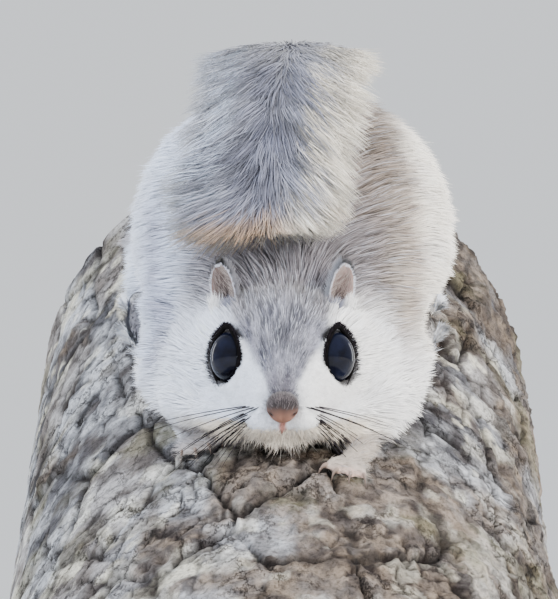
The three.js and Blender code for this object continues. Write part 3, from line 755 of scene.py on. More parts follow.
def scatter(verts, tris, density):
    """Random places on a surface: triangle of each and its weights. Density is per vertex, per square mm."""
    a, b, c = verts[tris[:, 0]], verts[tris[:, 1]], verts[tris[:, 2]]
    area = np.linalg.norm(np.cross(b - a, c - a), axis=1) / 2
    want = area * density[tris].mean(1) * 1
    count = np.floor(want + rng.random(len(want))).astype(int)
    which = np.repeat(np.arange(len(tris)), count)
    u, v = rng.random((2, len(which)))
    over = u + v > 1
    u[over], v[over] = 1 - u[over], 1 - v[over]
    weights = np.stack([1 - u - v, u, v], -1)
    return which, weights


def spread(values, tris, which, weights):
    picked = values[tris[which]]
    if picked.ndim == 2:
        return (picked * weights).sum(1)
    return (picked * weights[..., None]).sum(1)


def tangent(direction, normal):
    return unit(direction - normal * (direction * normal).sum(-1, keepdims=True))


def lie(p, n):
    """Direction in which the coat lies at points of the animal."""
    h = animal_to_head(p)
    x = p[:, 0] - SHIFT * step(p[:, 1], 25, 45)
    out = np.clip(x / 16, -1, 1)
    body = np.stack([0.95 * out, np.full(len(p), 0.55), -0.42 * np.abs(out)], -1)
    nose = np.array([0, -15, -6.5])
    radial = unit(h - nose)
    # the muzzle's sides and the cheeks sweep back and down
    down = -0.35 * step(np.abs(h[:, 0]), 6, 18) * step(-h[:, 2], -4, 8)
    head = (radial + np.stack([0 * x, np.full(len(p), 0.35), down], -1)) @ HEAD_TURN.T
    on_head = 1 - step(h[:, 1], 8, 24)
    return tangent(blend(body, unit(head), on_head), n)


def clumped(root, tip, size, pull, seed):
    """Tips drawn towards the tips of clump leaders, one for each patch of a size."""
    leaders = np.random.default_rng(seed).choice(len(root), max(1, int(len(root) / size)), replace=False)
    tree = KDTree(len(leaders))
    for k, i in enumerate(leaders):
        tree.insert(root[i], k)
    tree.balance()
    near = np.array([tree.find(r)[1] for r in root])
    lead = leaders[near]
    target = tip[lead] + (root - root[lead]) * 0.25
    return tip + (target - tip) * pull[:, None], near


def grow_body_coat(verts, tris, normals, part, ring):
    h = animal_to_head(verts)
    above = bark_height(verts)
    face = 1 - step(h[:, 1], -14, 8)
    length = np.choose(part, COAT_LENGTH)
    length = np.where(part == HEAD, 5.2 - 3.9 * face**0.8, length)
    round_eye, _, _ = eye_place(h)
    near_eye = (part == HEAD) * (1 - step(round_eye, 1.25, 2.2))
    length = length * (1 - 0.6 * near_eye)
    edge, _ = line_distance(mirror(verts), FLAP)
    beside = between(verts[:, 1], 36, 44, 72, 84) * (1 - step(edge, 10.5, 16))
    length = length * (1 - 0.76 * beside)
    length = ring.smooth(length, 14)
    gap, _ = line_distance(h, PHILTRUM)
    length = length * (1 - 0.6 * (1 - step(gap, 0.7, 1.5)) * (part == HEAD))
    density = np.choose(part, COAT_DENSITY)
    density = np.where(part == HEAD, 6.6 + 15.4 * face, density)
    density = ring.smooth(density, 8)
    hidden = (above < 1.0) & (normals[:, 2] < -0.1) & (part != PAW)
    density = density * (1 - 0.9 * hidden)
    density[(round_eye < 1.04) & (part == HEAD)] = 0
    nose_gap = np.linalg.norm((h - NOSE_AT) / (NOSE_SIZE + 0.1), axis=1)
    density[(nose_gap < 1.0) & (part == HEAD)] = 0
    density[(gap < 0.5) & (part == HEAD)] *= 0.3
    density = density * (1 - 0.85 * bare_toes(verts) * (part == PAW))

    which, weights = scatter(verts, tris, density)
    root = spread(verts, tris, which, weights)
    normal = unit(spread(normals, tris, which, weights))
    long = spread(length, tris, which, weights)
    count = len(root)
    direction = lie(root, normal)
    swirl = vector_noise(root, 8, 20) * 0.26 + vector_noise(root, 2.6, 30) * 0.2
    direction = tangent(direction + swirl, normal)
    hh = animal_to_head(root)
    face_root = 1 - step(hh[:, 1], -14, 8)
    rise = np.clip(0.3 - 0.1 * face_root + 0.09 * rng.standard_normal(count), 0.08, 0.9)
    long = long * (0.78 + 0.42 * rng.random(count))
    tip = root + (direction * (1 - 0.3 * rise[:, None]) + normal * rise[:, None]) * long[:, None]
    tip, near = clumped(root, tip, 22, 0.15 + 0.3 * rng.random(count), 5)
    start = unit(direction + normal * (0.5 + 0.5 * rise)[:, None])
    bend = (tip - root) / long[:, None] - start
    colour = marks(root, normal)
    grey = 1 - step(colour.mean(1), 0.2, 0.62)
    each = lattice(near, near * 7, near * 3, 9) - 0.5
    head_root = (1 - step(hh[:, 1], 12, 20)) * grey
    furry = 1 - face_root
    tone = 1 + (0.05 + 0.03 * furry + 0.1 * grey) * rng.standard_normal(count)
    tone = tone + (0.06 + 0.1 * furry + 0.26 * grey) * each
    guard = rng.random(count) < 0.07 + 0.26 * grey + 0.1 * head_root
    tone = np.where(guard, tone * (0.76 - 0.34 * grey), tone)
    long = np.where(guard, long * (1 + 0.3 * head_root), long)
    pale = rng.random(count) < 0.16 * grey
    high = np.clip(colour * tone[:, None], 0, 1)
    high[pale] = high[pale] * 0.5 + SILVER * 0.5
    low = high * (0.84 - 0.14 * grey)[:, None]
    width = (0.098 + 0.037 * rng.random(count)) * (1 - 0.3 * face_root) * (0.9 + 0.02 * long)
    coat = Coat()
    place = unwrap(root)
    straight = long < 2.7  # short tufts need no bend
    start[straight], bend[straight] = (start + bend)[straight], 0
    root = root - normal * 0.25
    for rings, some in ((1, straight), (2, ~straight)):
        which = [a[some] for a in (root, normal, start, bend, long, width)]
        coat.add(*which, (low[some], high[some]), place[some], rings)
    coat.build("coat_body")
    return count


# Tail: middle line from root to tip; half width and thickness of the core; reach of the hair beyond it
TAIL_LINE = [
    (1.2, 111, 11), (1.6, 118.5, 16.5), (2, 121, 25.5), (2.2, 117, 34.5), (2, 108, 41.8), (1.4, 97.5, 46.6),
    (0.6, 87, 49.2), (-0.4, 76, 49.4), (-1.4, 65, 47.2), (-2.6, 54.3, 42.6), (-3.9, 43.2, 35.8),
]
CORE_WIDE, CORE_THICK, REACH = 8, 2.1, 20.6


def tail_frames(t):
    """Centres, tangents, sides and outward normals at shares of the tail's length."""
    fine = spline(TAIL_LINE, np.linspace(0, 1, 400))
    run = np.concatenate([[0], np.cumsum(np.linalg.norm(np.diff(fine, axis=0), axis=1))])
    at = np.interp(np.clip(t, 0, 1), run / run[-1], np.linspace(0, 1, 400))
    centre = spline(TAIL_LINE, at)
    along = unit(spline(TAIL_LINE, np.clip(at + 0.01, 0, 1)) - spline(TAIL_LINE, np.clip(at - 0.01, 0, 1)))
    side = unit(np.array([1, 0, 0]) - along * along[:, :1])
    return centre, along, side, np.cross(side, along)


def tail_width(t):
    return 0.45 + 0.55 * step(t, 0, 0.3)


def make_tail_core():
    t = np.linspace(0, 1, 60)
    centre, along, side, out = tail_frames(t)
    close = np.sqrt(np.clip(1 - (np.clip(t - 0.85, 0, 1) / 0.155) ** 2, 0.02, 1))
    angle = np.arange(24) / 24 * 2 * np.pi
    wide = (CORE_WIDE * tail_width(t) * close)[:, None, None]
    thick = (0.6 + 0.4 * close)[:, None, None]
    rings = centre[:, None] + side[:, None] * np.cos(angle)[None, :, None] * wide
    rings = rings + out[:, None] * (CORE_THICK * 0.8 * np.sin(angle))[None, :, None] * thick
    return capped_tube(rings, centre[0] - along[0] * 4, centre[-1] + along[-1] * 0.5)


def tail_marks(t, across, p):
    """Colour of the tail's upper hair: across runs from -1 to 1."""
    patch = value_noise(p, 7, 8) * 0.5 + value_noise(p, 2.5, 9) * 0.5
    left = step(across, -0.3, 0.4)
    c = blend(SILVER, GREY, np.clip(0.9 - 0.7 * np.abs(across) + 0.3 * patch, 0, 1))
    c = blend(c, SLATE, np.clip(0.8 - 0.55 * np.abs(across) + 0.35 * patch, 0, 1) * step(t, 0.2, 0.45))
    # pale edges, wider on the left; bluish on the right and cream on the left as painted cool and warm light
    edge = step(np.abs(across) + 0.1 * patch, blend(0.62, 0.34, left), blend(0.92, 0.74, left))
    return blend(c, blend(ICE, CREAM, left), 0.92 * edge)


TAIL_LAYERS = [
    # tufts, lift from the core, turn at its edge, reach, rise; the upper layers last
    (4000, 0.8, 1.0, 0.95, 0.1),
    (4800, 0.1, 1.2, 0.98, 0.0),
    (8400, -0.85, 1.2, 0.88, -0.1),
    (6600, -0.95, 1.1, 0.52, -0.26),
]


def grow_tail_coat():
    coat = Coat()
    end, end_along, end_side, _ = (a[0] for a in tail_frames(np.array([1.0])))
    total = 0
    for number, (count, lift, turn, reach, rise) in enumerate(TAIL_LAYERS):
        count = fewer(count)
        t = 1 - 0.98 * rng.random(count) ** 1.12
        if number == 1:
            across = rng.choice([-1, 1], count) * (0.4 + 0.6 * rng.random(count))
        else:
            across = rng.random(count) * 2 - 1
        centre, along, side, out = tail_frames(t)
        wide = tail_width(t)
        close = 1 - 0.35 * step(t, 0.9, 1)
        root = centre + side * (across * CORE_WIDE * 0.92 * wide * close)[:, None]
        root = root + out * (lift * CORE_THICK * 0.75 * np.sqrt(np.clip(1 - across**2, 0.05, 1)))[:, None]
        noise = value_noise(root, 6, 50 + number) * 0.22 + 0.1 * rng.standard_normal(count)
        fan = 1 + (0.18 - 0.2 * np.sign(across)) * step(t, 0.75, 1)
        way = np.sign(across) * np.abs(across) ** 0.6 * turn * fan + noise
        direction = along * np.cos(way)[:, None] + side * np.sin(way)[:, None]
        direction = unit(direction + out * (rise + 0.07 * rng.standard_normal(count))[:, None])
        _, ahead, _, _ = tail_frames(np.clip(t + 0.13, 0, 1))
        upper = lift < 0
        follow = (0.75 + 0.35 * rng.random(count)) * (1 - (0.5 if upper else 0.1) * (1 - step(t, 0.1, 0.36)))
        away = 1 if upper else -1
        bend = (ahead - along) * follow[:, None] + out * (0.1 * np.abs(across))[:, None] * away
        bend = bend + along * (0.2 * np.abs(across))[:, None] + vector_noise(root, 4, 60) * 0.08
        long = (REACH - CORE_WIDE * np.abs(across) * 0.72) * reach * wide * (0.76 + 0.3 * rng.random(count))
        long = long * (1 + 0.2 * step(t, 0.7, 1) * step(-across, 0, 0.5))
        # the tip is brushed to a broad, nearly straight end
        tip = root + (direction + bend) * long[:, None]
        ahead_of = (tip - end) @ end_along
        across_end = (tip - end) @ end_side
        most = 7.4 - 0.2 * across_end + 0.9 * rng.random(count)
        base = (root - end) @ end_along
        over = (ahead_of > most) & (t > 0.6)
        long = np.where(over, long * np.clip((most - base) / np.maximum(ahead_of - base, 1e-3), 0.3, 1), long)
        tip = root + (direction + bend) * long[:, None]
        tip, near = clumped(root, tip, 20, 0.25 + 0.4 * rng.random(count), 15 + number)
        bend = (tip - root) / long[:, None] - direction
        normal = out * np.sign(lift) * (1 - 0.6 * np.abs(across))[:, None]
        normal = unit(normal + side * (1.2 * across)[:, None])
        if upper:
            colour = tail_marks(t, across, root)
        else:
            colour = blend(CREAM, TAN, np.clip(0.55 + 0.5 * value_noise(root, 6, 33), 0, 1))
            near_tip = 0.8 * step(ahead_of - most, -5, -2) * (t > 0.6)
            # near the tip the lower hair turns silver on the right and cream on the left, painted cool and
            # warm light
            colour = blend(blend(SILVER, CREAM, step(across_end, -4, 10)), colour, near_tip)
        fringe = step(ahead_of - most, -3.4, -0.8) * (t > 0.6)
        tan = blend(TAN, CREAM, step(across_end, 0, 12))
        tan = blend(tan, SILVER, 0.5 * step(-across_end, 16, 21))
        colour_tip = blend(colour, tan, 0.92 * fringe)
        each = lattice(near, near * 5, near, 19) - 0.5
        tone = 1 + 0.1 * rng.standard_normal(count) + 0.5 * each
        strand = lattice(near * 3, near, near * 11, 23) < 0.34 * (1 - 0.45 * np.abs(across))
        dark = (strand & (rng.random(count) < 0.7)) | (rng.random(count) < 0.12)
        tone = np.where(dark & upper, tone * 0.44, tone)
        width = 0.105 + 0.04 * rng.random(count)
        low = np.clip(colour * (tone * 0.8)[:, None], 0, 1)
        high = np.clip(colour_tip * tone[:, None], 0, 1)
        lit = 0.5 if upper else 0.2
        coat.add(root, normal, direction, bend, long, width, (low, high), unwrap(root, 1), 3, lit, fade=2.2)
        total += count
    coat.build("coat_tail")
    return total


# Build the skin
skin_verts, skin_tris, skin_normals, skin_part, skin_ring = make_skin()
skin_colours = marks(skin_verts, skin_normals)
toe = bare_toes(skin_verts) * (skin_part == PAW)
toe = skin_ring.smooth(toe.astype(float), 4)
skin_colours = blend(skin_colours, PINK, toe)
tail_verts, tail_tris = make_tail_core()
tail_colours = np.tile(GREY * 0.8, (len(tail_verts), 1))
all_verts = np.vstack([skin_verts, tail_verts])
all_tris = np.vstack([skin_tris, tail_tris + len(skin_verts)])
skin = make_object("skin", all_verts, all_tris, [SKIN], np.vstack([skin_colours * 0.9, tail_colours]))
put(skin, "grey_fur", *FLESH, "tail_base", "tail_middle", "tail_end")
body_count = grow_body_coat(skin_verts, skin_tris, skin_normals, skin_part, skin_ring)
print("skin", len(all_tris), "body tufts", body_count, "tail tufts", grow_tail_coat())


# Eyes
def make_eye(side):
    rows = 18
    sphere = (EYE_RADIUS**2 + EYE_DOME**2) / (2 * EYE_DOME)
    arc = math.asin(EYE_RADIUS / sphere)
    angle = arc * (1 - np.arange(rows) / rows)
    radius = np.concatenate([[EYE_RADIUS, EYE_RADIUS], sphere * np.sin(angle)])
    height = np.concatenate([[-EYE_DEEP, -0.3], EYE_DOME - sphere * (1 - np.cos(angle))])
    turn = np.arange(48) / 48 * 2 * np.pi
    rings = np.stack(
        [
            np.outer(radius, np.cos(turn)) * EYE_LONG,
            np.outer(radius, np.sin(turn)) * EYE_NARROW,
            np.outer(height, np.ones(48)),
        ],
        -1,
    )
    verts, tris = capped_tube(rings, [0, 0, -EYE_DEEP], [0, 0, EYE_DOME])
    verts = verts @ EYE_BASIS.T + EYE_AT
    if side < 0:
        verts = verts * [-1, 1, 1]
        tris = tris[:, ::-1]
    eye = make_object("eye_dark_" + side_name(side), head_to_animal(verts), tris, [EYE])
    put(eye, "eye", "eye_" + side_name(side))


EYE = material("eye_gloss", roughness=0.07, Specular_IOR_Level=0.13)
eye_nodes = Nodes(EYE)
depth = eye_nodes.noise(260, 2)
eye_nodes.colour(eye_nodes.ramp(depth, [(0.3, (0.002, 0.002, 0.004)), (0.7, (0.006, 0.008, 0.02))]))
make_eye(1)
make_eye(-1)


def make_lids(side):
    """A soft dark rim round the eye, drawn out to a corner above and below."""
    count, round_tube = 72, 12
    turn = np.arange(count) / count * 2 * np.pi
    tube = np.arange(round_tube) / round_tube * 2 * np.pi
    corner = 0.85 * np.abs(np.cos(turn)) ** 14
    radius = LID_RING - 0.45 + corner
    thick = 0.46 - 0.08 * np.abs(np.sin(turn))
    ring = np.empty((count, round_tube, 3))
    ring[..., 0] = (radius[:, None] + thick[:, None] * np.cos(tube)) * np.cos(turn)[:, None] * EYE_LONG
    ring[..., 1] = (radius[:, None] + thick[:, None] * np.cos(tube)) * np.sin(turn)[:, None] * EYE_NARROW
    ring[..., 2] = thick[:, None] * np.sin(tube) * 1.2 + 0.15
    verts = ring.reshape(-1, 3) @ EYE_BASIS.T + EYE_AT
    here, last = np.arange(round_tube), (count - 1) * round_tube
    after = (here + 1) % round_tube
    join = np.stack([last + here, last + after, after, here], -1)
    quads = np.vstack([grid_faces(count, round_tube, wrap=True), join])
    if side < 0:
        verts = verts * [-1, 1, 1]
    else:
        quads = quads[:, ::-1]
    put(make_object("lids_" + side_name(side), head_to_animal(verts), quads, [LID]), "face_fur")


LID = material("lid_skin", roughness=0.9, Specular_IOR_Level=0.05)
lid_nodes = Nodes(LID)
lid_shade = [(0.3, (0.002, 0.002, 0.002)), (0.7, (0.006, 0.005, 0.006))]
lid_nodes.colour(lid_nodes.ramp(lid_nodes.noise(1500, 3), lid_shade))
lid_nodes.bump(lid_nodes.noise(2400, 2), 0.3, 0.0002)
make_lids(1)
make_lids(-1)


# Nose
def make_nose():
    verts, tris = ball([0, 0, 0], [1, 1, 1], 64, 48)
    shape = np.sign(verts) * np.abs(verts) ** np.array([0.84, 1, 0.86])
    # flatter below and notched in the middle of the front
    shape[:, 0] *= 1 - 0.22 * step(-verts[:, 2], 0.1, 1)
    notch = soft_band(verts[:, 0], 0, 0.13) * step(-verts[:, 1], 0.3, 0.8) * step(-verts[:, 2], -0.5, 0.3)
    shape[:, 1] += 0.16 * notch
    colour = blend(srgb(138, 100, 86), srgb(40, 35, 37), step(verts[:, 2], -0.6, 0.35))
    # nostrils: pits pressed in and darkened with painted shade
    for s in (-1, 1):
        gap = np.linalg.norm((verts - [s * 0.82, -0.56, -0.34]) / [0.24, 0.42, 0.2], axis=1)
        pit = np.exp(-(gap**2))
        shape[:, 1] += 0.42 * pit
        shape[:, 0] -= 0.1 * s * pit
        colour = blend(colour, srgb(46, 32, 30), np.clip(1.2 * pit, 0, 1))
    points = shape * NOSE_SIZE + NOSE_AT
    put(make_object("nose_pad", head_to_animal(points), tris, [NOSE], colour), "nose", "nose")

    # short dark hair over its upper side
    coat = Coat()
    tops = np.flatnonzero((verts[:, 2] > 0.05) & (verts[:, 1] < 0.5))
    pick = rng.choice(tops, fewer(1100))
    root = points[pick] + rng.normal(0, 0.05, (len(pick), 3))
    normal = unit(verts[pick])
    back = np.array([0, 0.5, 0.8]) + normal * [0.5, 0, 0] + rng.normal(0, 0.16, (len(pick), 3))
    direction = tangent(back, normal) + normal * 0.22
    shade = blend(srgb(50, 45, 48), srgb(112, 104, 106), rng.random(len(pick)) ** 2)
    root, normal, direction = head_to_animal(root), normal @ HEAD_TURN.T, direction @ HEAD_TURN.T
    long = 0.7 + 0.6 * rng.random(len(pick))
    coat.add(root, normal, direction, np.zeros_like(root), long, 0.06, (shade, shade * 1.2), unwrap(root), 1)
    coat.build("coat_nose")


NOSE, nose_nodes = painted_material("nose_skin", 0.62, Specular_IOR_Level=0.35)
nose_nodes.bump(nose_nodes.noise(2600, 3), 0.35, 0.0002)
make_nose()


# Ears
EAR_BASE, EAR_OPEN = np.array([11.1, 12.4, 5.0]), np.array([0.72, -0.66, 0.15])
EAR_UP = unit(np.array([0.2, 0.42, 0.885]))
EAR_LONG, EAR_HALF, EAR_CUP = 10.0, 3.2, 2.1
EAR_OPEN = unit(EAR_OPEN - EAR_UP * (EAR_OPEN @ EAR_UP))
EAR_WIDE = np.cross(EAR_UP, EAR_OPEN)


def ear_surface(u, v, sink=0.0):
    across = 2 * u - 1
    half = EAR_HALF * np.sqrt(np.clip(1 - ((v - 0.45) / 0.57) ** 2, 0.04, 1))
    depth = EAR_CUP * (1 - across**2) * (1 - 0.75 * v)
    p = EAR_BASE + EAR_UP * (EAR_LONG * v)[:, None] + EAR_WIDE * (half * across)[:, None]
    return p - EAR_OPEN * (depth + sink * (1 - 0.3 * across**2))[:, None]


EAR, ear_nodes = painted_material("ear_skin", 0.7, Subsurface_Weight=0.15, Subsurface_Scale=0.002)
ear_nodes.bump(ear_nodes.noise(1500, 4), 0.3, 0.0002)


def make_ear(side):
    columns, rows = 25, 29
    v, u = np.meshgrid(np.linspace(0, 1, rows), np.linspace(0, 1, columns), indexing="ij")
    u, v = u.ravel(), v.ravel()
    count = len(u)
    verts = np.vstack([ear_surface(u, v), ear_surface(u, v, 0.6)])
    inner = grid_faces(rows, columns)
    border = np.concatenate(
        [
            np.arange(columns),
            np.arange(1, rows) * columns + columns - 1,
            (rows - 1) * columns + np.arange(columns - 2, -1, -1),
            np.arange(rows - 2, 0, -1) * columns,
        ]
    )
    after = np.roll(border, -1)
    rim = np.stack([border, border + count, after + count, after], -1)
    quads = np.vstack([inner, inner[:, ::-1] + count, rim])
    edge = np.maximum(np.abs(2 * u - 1), np.clip((v - 0.55) / 0.45, 0, 1))
    colour = blend(srgb(112, 94, 92), srgb(160, 138, 134), step(edge, 0.5, 0.95))
    # darker low in the cup with painted shade, and the right ear's cup darker than the left's with painted
    # shade
    colour = blend(colour, srgb(48, 40, 42), 0.85 * (1 - step(v, 0.3, 0.8)) * (1 - step(edge, 0.35, 0.9)))
    colour = colour * (0.8 if side > 0 else 0.45)
    colour = np.vstack([colour, np.tile(srgb(150, 140, 142), (count, 1))])
    if side < 0:
        verts, quads = verts * [-1, 1, 1], quads[:, ::-1]
    ear = make_object("ear_cup_" + side_name(side), head_to_animal(verts), quads, [EAR], colour)
    put(ear, "ear", "ear_" + side_name(side))


def grow_ear_coat(side):
    coat = Coat()
    flip = np.array([side, 1, 1])

    def grow(root, normal, direction, long, colour, width):
        root = head_to_animal(root * flip)
        normal = np.broadcast_to(normal, root.shape) * flip
        normal, direction = unit(normal @ HEAD_TURN.T), direction * flip @ HEAD_TURN.T
        coat.add(root, normal, direction, 0 * root, long, width, (colour * 0.8, colour), unwrap(root))

    # short hair on the back
    n = fewer(1500)
    u, v = rng.random(n), rng.random(n) ** 0.9
    root = ear_surface(u, v, 0.6)
    wide = EAR_WIDE * (2 * u - 1)[:, None]
    direction = unit(EAR_UP + wide * 0.5 - EAR_OPEN * 0.25)
    direction = unit(direction + 0.18 * rng.standard_normal((n, 3)))
    tone = (0.9 + 0.2 * rng.random(n))[:, None]
    long = 2.2 * (0.7 + 0.6 * rng.random(n))
    grow(root, wide * 0.6 - EAR_OPEN, direction, long, blend(GREY, SLATE, 0.3) * tone, 0.085)

    # a pale fringe on the rim
    n = fewer(520)
    angle = (rng.random(n) - 0.5) * 2
    u = np.clip(0.5 + 0.5 * np.sign(angle) * np.minimum(1, np.abs(angle) * 2.4) ** 0.9, 0, 1)
    v = np.clip(1 - np.maximum(0, np.abs(angle) - 0.3) * 1.3, 0, 1)
    root = ear_surface(u, v, 0.3 * rng.random(n))
    direction = unit(EAR_UP * 0.7 + EAR_WIDE * (2 * u - 1)[:, None] * 0.7 + EAR_OPEN * 0.35)
    direction = unit(direction + 0.25 * rng.standard_normal((n, 3)))
    tone = (0.9 + 0.2 * rng.random(n))[:, None]
    long = 0.7 * (0.7 + 0.6 * rng.random(n))
    grow(root, EAR_OPEN, direction, long, np.clip(SILVER * tone, 0, 1), 0.05)

    # the head's hair, which rises in front and hides the ear's lower part
    n = fewer(620)
    a = 2 * rng.random(n) - 1
    root = EAR_BASE + EAR_WIDE * (a * EAR_HALF * 1.2)[:, None] - EAR_UP * (1.2 - 1.6 * rng.random(n))[:, None]
    root = root + EAR_OPEN * (0.3 + 0.7 * (1 - a**2) + 0.5 * rng.random(n))[:, None]
    direction = EAR_UP + EAR_OPEN * 0.12 - EAR_WIDE * (0.25 * a)[:, None]
    direction = unit(direction + 0.13 * rng.standard_normal((n, 3)))
    outer = step(a, -0.35, 0.25)
    hair = blend(blend(GREY, SLATE, rng.random(n) * 0.7), WHITE * 0.96, outer)
    grow(root, EAR_OPEN, direction, (3.4 + 1.8 * outer) * (0.6 + 0.5 * rng.random(n)), hair, 0.075)

    # thin hair inside
    n = fewer(260)
    u, v = rng.random(n), 0.15 + 0.8 * rng.random(n)
    direction = EAR_UP + EAR_WIDE * (0.5 - u)[:, None] + EAR_OPEN * 0.5
    direction = unit(direction + 0.2 * rng.standard_normal((n, 3)))
    hair = np.tile(srgb(150, 138, 134), (n, 1))
    grow(ear_surface(u, v), EAR_OPEN, direction, 1.6 * (0.6 + 0.6 * rng.random(n)), hair, 0.04)
    coat.build("coat_ear_" + side_name(side))


for ear_side in (1, -1):
    make_ear(ear_side)
    grow_ear_coat(ear_side)


def grow_eye_fringe():
    """Lashes of short dark fur round the eyes."""
    coat = Coat()
    for side in (1, -1):
        n = fewer(1700)
        turn = rng.random(n) * 2 * np.pi
        outer = np.clip(-np.sin(turn), 0, 1)
        radius = LID_RING - 0.25 + 0.8 * np.abs(np.cos(turn)) ** 12 + (0.15 + 0.5 * outer) * rng.random(n)
        across, up = radius * np.cos(turn) * EYE_LONG, radius * np.sin(turn) * EYE_NARROW
        q = np.stack([across, up, 0.35 - 0.3 * rng.random(n)], -1)
        outward = np.stack([np.cos(turn), np.sin(turn), 0.35 + 0 * turn], -1)
        outward = unit(outward + 0.3 * rng.standard_normal((n, 3)))
        flip = np.array([side, 1, 1])
        root = head_to_animal((q @ EYE_BASIS.T + EYE_AT) * flip)
        direction = unit(outward @ EYE_BASIS.T + np.array([0, 0.45, 0.1])) * flip @ HEAD_TURN.T
        normal = np.tile(EYE_BASIS[:, 2] * flip, (n, 1)) @ HEAD_TURN.T
        dark = srgb(26, 23, 27) * (0.4 + 0.8 * rng.random(n))[:, None]
        long = (0.75 + 0.35 * outer) * (0.7 + 0.6 * rng.random(n))
        coat.add(root, normal, direction, 0 * root, long, 0.06, (dark, dark * 1.5), unwrap(root))
    coat.build("coat_eye_rims", DARK_FUR)


grow_eye_fringe()


# Whiskers
def grow_whiskers():
    parts = []
    s = np.linspace(0, 1, 14)
    radius = 0.115 * (1 - s**1.3) + 0.02
    s = s[:, None]
    for side in (-1, 1):
        for row in range(4):
            for k in range(4):
                x, y = side * (4.2 + 0.5 * k + 0.2 * row), -14.6 + 0.6 * k + 0.15 * row
                root = np.array([x, y, -6.2 - 0.95 * row - 0.12 * k])
                out = 0.85 + 0.06 * rng.standard_normal()
                down = -0.34 - 0.16 * row + 0.05 * k + 0.05 * rng.standard_normal()
                back = -0.02 + 0.12 * k + 0.05 * rng.standard_normal()
                bend = np.array([side * -0.08, 0.3, -0.16 - 0.04 * row])
                long = (28 - 2.2 * row) * (0.7 + 0.45 * rng.random()) * (0.78 + 0.06 * k)
                tone = 0.4 + 0.9 * rng.random()
                path = root + (unit(np.array([side * out, back, down])) * s + bend * s**2) * long
                v, f = tube_along(head_to_animal(path), radius, 5)
                parts.append((v, f, np.tile(srgb(44, 40, 44) * tone, (len(v), 1))))
    verts, faces, colours = joined(parts)
    put(make_object("whiskers", verts, faces, [DARK_FUR], colours), "face_fur")


grow_whiskers()


# Lips, chin and flaps
def grow_where(name, here, count, way, bend, long, width, light, dark):
    """Tufts that stand on the chosen points of the skin. The way is the left side's, and is mirrored."""
    coat = Coat()
    pick = rng.choice(np.flatnonzero(here), fewer(count))
    root, normal = skin_verts[pick], skin_normals[pick]
    count = len(pick)
    turned = np.stack([np.clip(root[:, 0] / 9, -1, 1), np.ones(count), np.ones(count)], -1)
    direction = unit(np.asarray(way) * turned + 0.22 * rng.standard_normal((count, 3)))
    curl = np.asarray(bend) * turned + 0.08 * rng.standard_normal((count, 3))
    shade = blend(light, dark, rng.random(count) ** 1.5)
    long = long[0] + (long[1] - long[0]) * rng.random(count) ** 1.6
    width = width * (0.8 + 0.4 * rng.random(count))
    coat.add(root - normal * 0.2, normal, direction, curl, long, width, (shade * 0.85, shade), unwrap(root))
    coat.build(name)


def grow_chin_and_flaps():
    """Cream hair along the lips, thin hair below them, and the fold, dark with painted shade, and white edge
    of each flap.
    """
    h = animal_to_head(skin_verts)
    head = skin_part == HEAD
    band = head & (np.abs(h[:, 2] + 12) < 1.6) & (h[:, 1] < -1) & (np.abs(h[:, 0]) < 13)
    tones = srgb(244, 234, 218), srgb(214, 200, 186)
    grow_where("coat_lips", band, 1700, [0.55, -0.35, -0.3], [0, 0.3, -0.1], (1.6, 3.4), 0.075, *tones)
    low = head & (h[:, 2] < -11.5) & (h[:, 1] < -1) & (skin_normals[:, 2] < -0.25)
    tones = srgb(236, 228, 220), srgb(178, 164, 156)
    grow_where("coat_chin", low, 420, [0.5, -0.25, -1], [0, 0.25, 0.05], (1.6, 5.0), 0.045, *tones)
    x, y, z = skin_verts.T
    edge, _ = line_distance(mirror(skin_verts), FLAP)
    upper = (skin_normals[:, 2] > -0.3) & (skin_part != HEAD) & (skin_part != PAW) & (z > -9)
    start, end, inside = 41, 74, 5.0  # the fold, along the body and inside the flap's edge
    half = 1.9 * np.sin(np.pi * np.clip((y - start) / (end - start), 0, 1)) ** 0.5
    # the fold's tufts carry painted shade, slate on the right and umber on the left as painted cool and warm
    # light
    for s, shade in ((-1, SLATE), (1, UMBER)):
        side = upper & (x * s > 24)
        fold = side & (y > start) & (y < end) & (np.abs(edge - inside) < half)
        way, bend, tones = [0.1, 0.6, 0.75], [0.15, 0.1, -0.35], (blend(shade, GREY, 0.45), shade * 0.8)
        grow_where("coat_fold_" + side_name(s), fold, 900, way, bend, (1.4, 2.6), 0.09, *tones)
        rim = side & (y > 34) & (y < 96) & (edge < 2.2)
        way, bend = [0.6, 0.55, 0.7], [0.05, 0.2, -0.3]
        grow_where("coat_flap_" + side_name(s), rim, 1700, way, bend, (2.4, 3.8), 0.1, WHITE, ICE)


grow_chin_and_flaps()


# Claws: roots of the toes, their spread, number, fan, heading, length and way, and the claws' length
FORE = 3.1, 4, 0.85, -0.3, 6.2, -1
FORE_FOOT = {1: ((13.8, 2.8), *FORE, 3.1), -1: ((17.8, 15.2), *FORE, 1.5)}  # the right one is drawn back
HIND_FOOT = ((29.9, 122), 3.9, 5, 0.95, -0.1, 8.2, 1, 3.5)


def bark_z(x, y):
    return np.sqrt(trunk_radius(y) ** 2 - x * x) - trunk_radius(y)


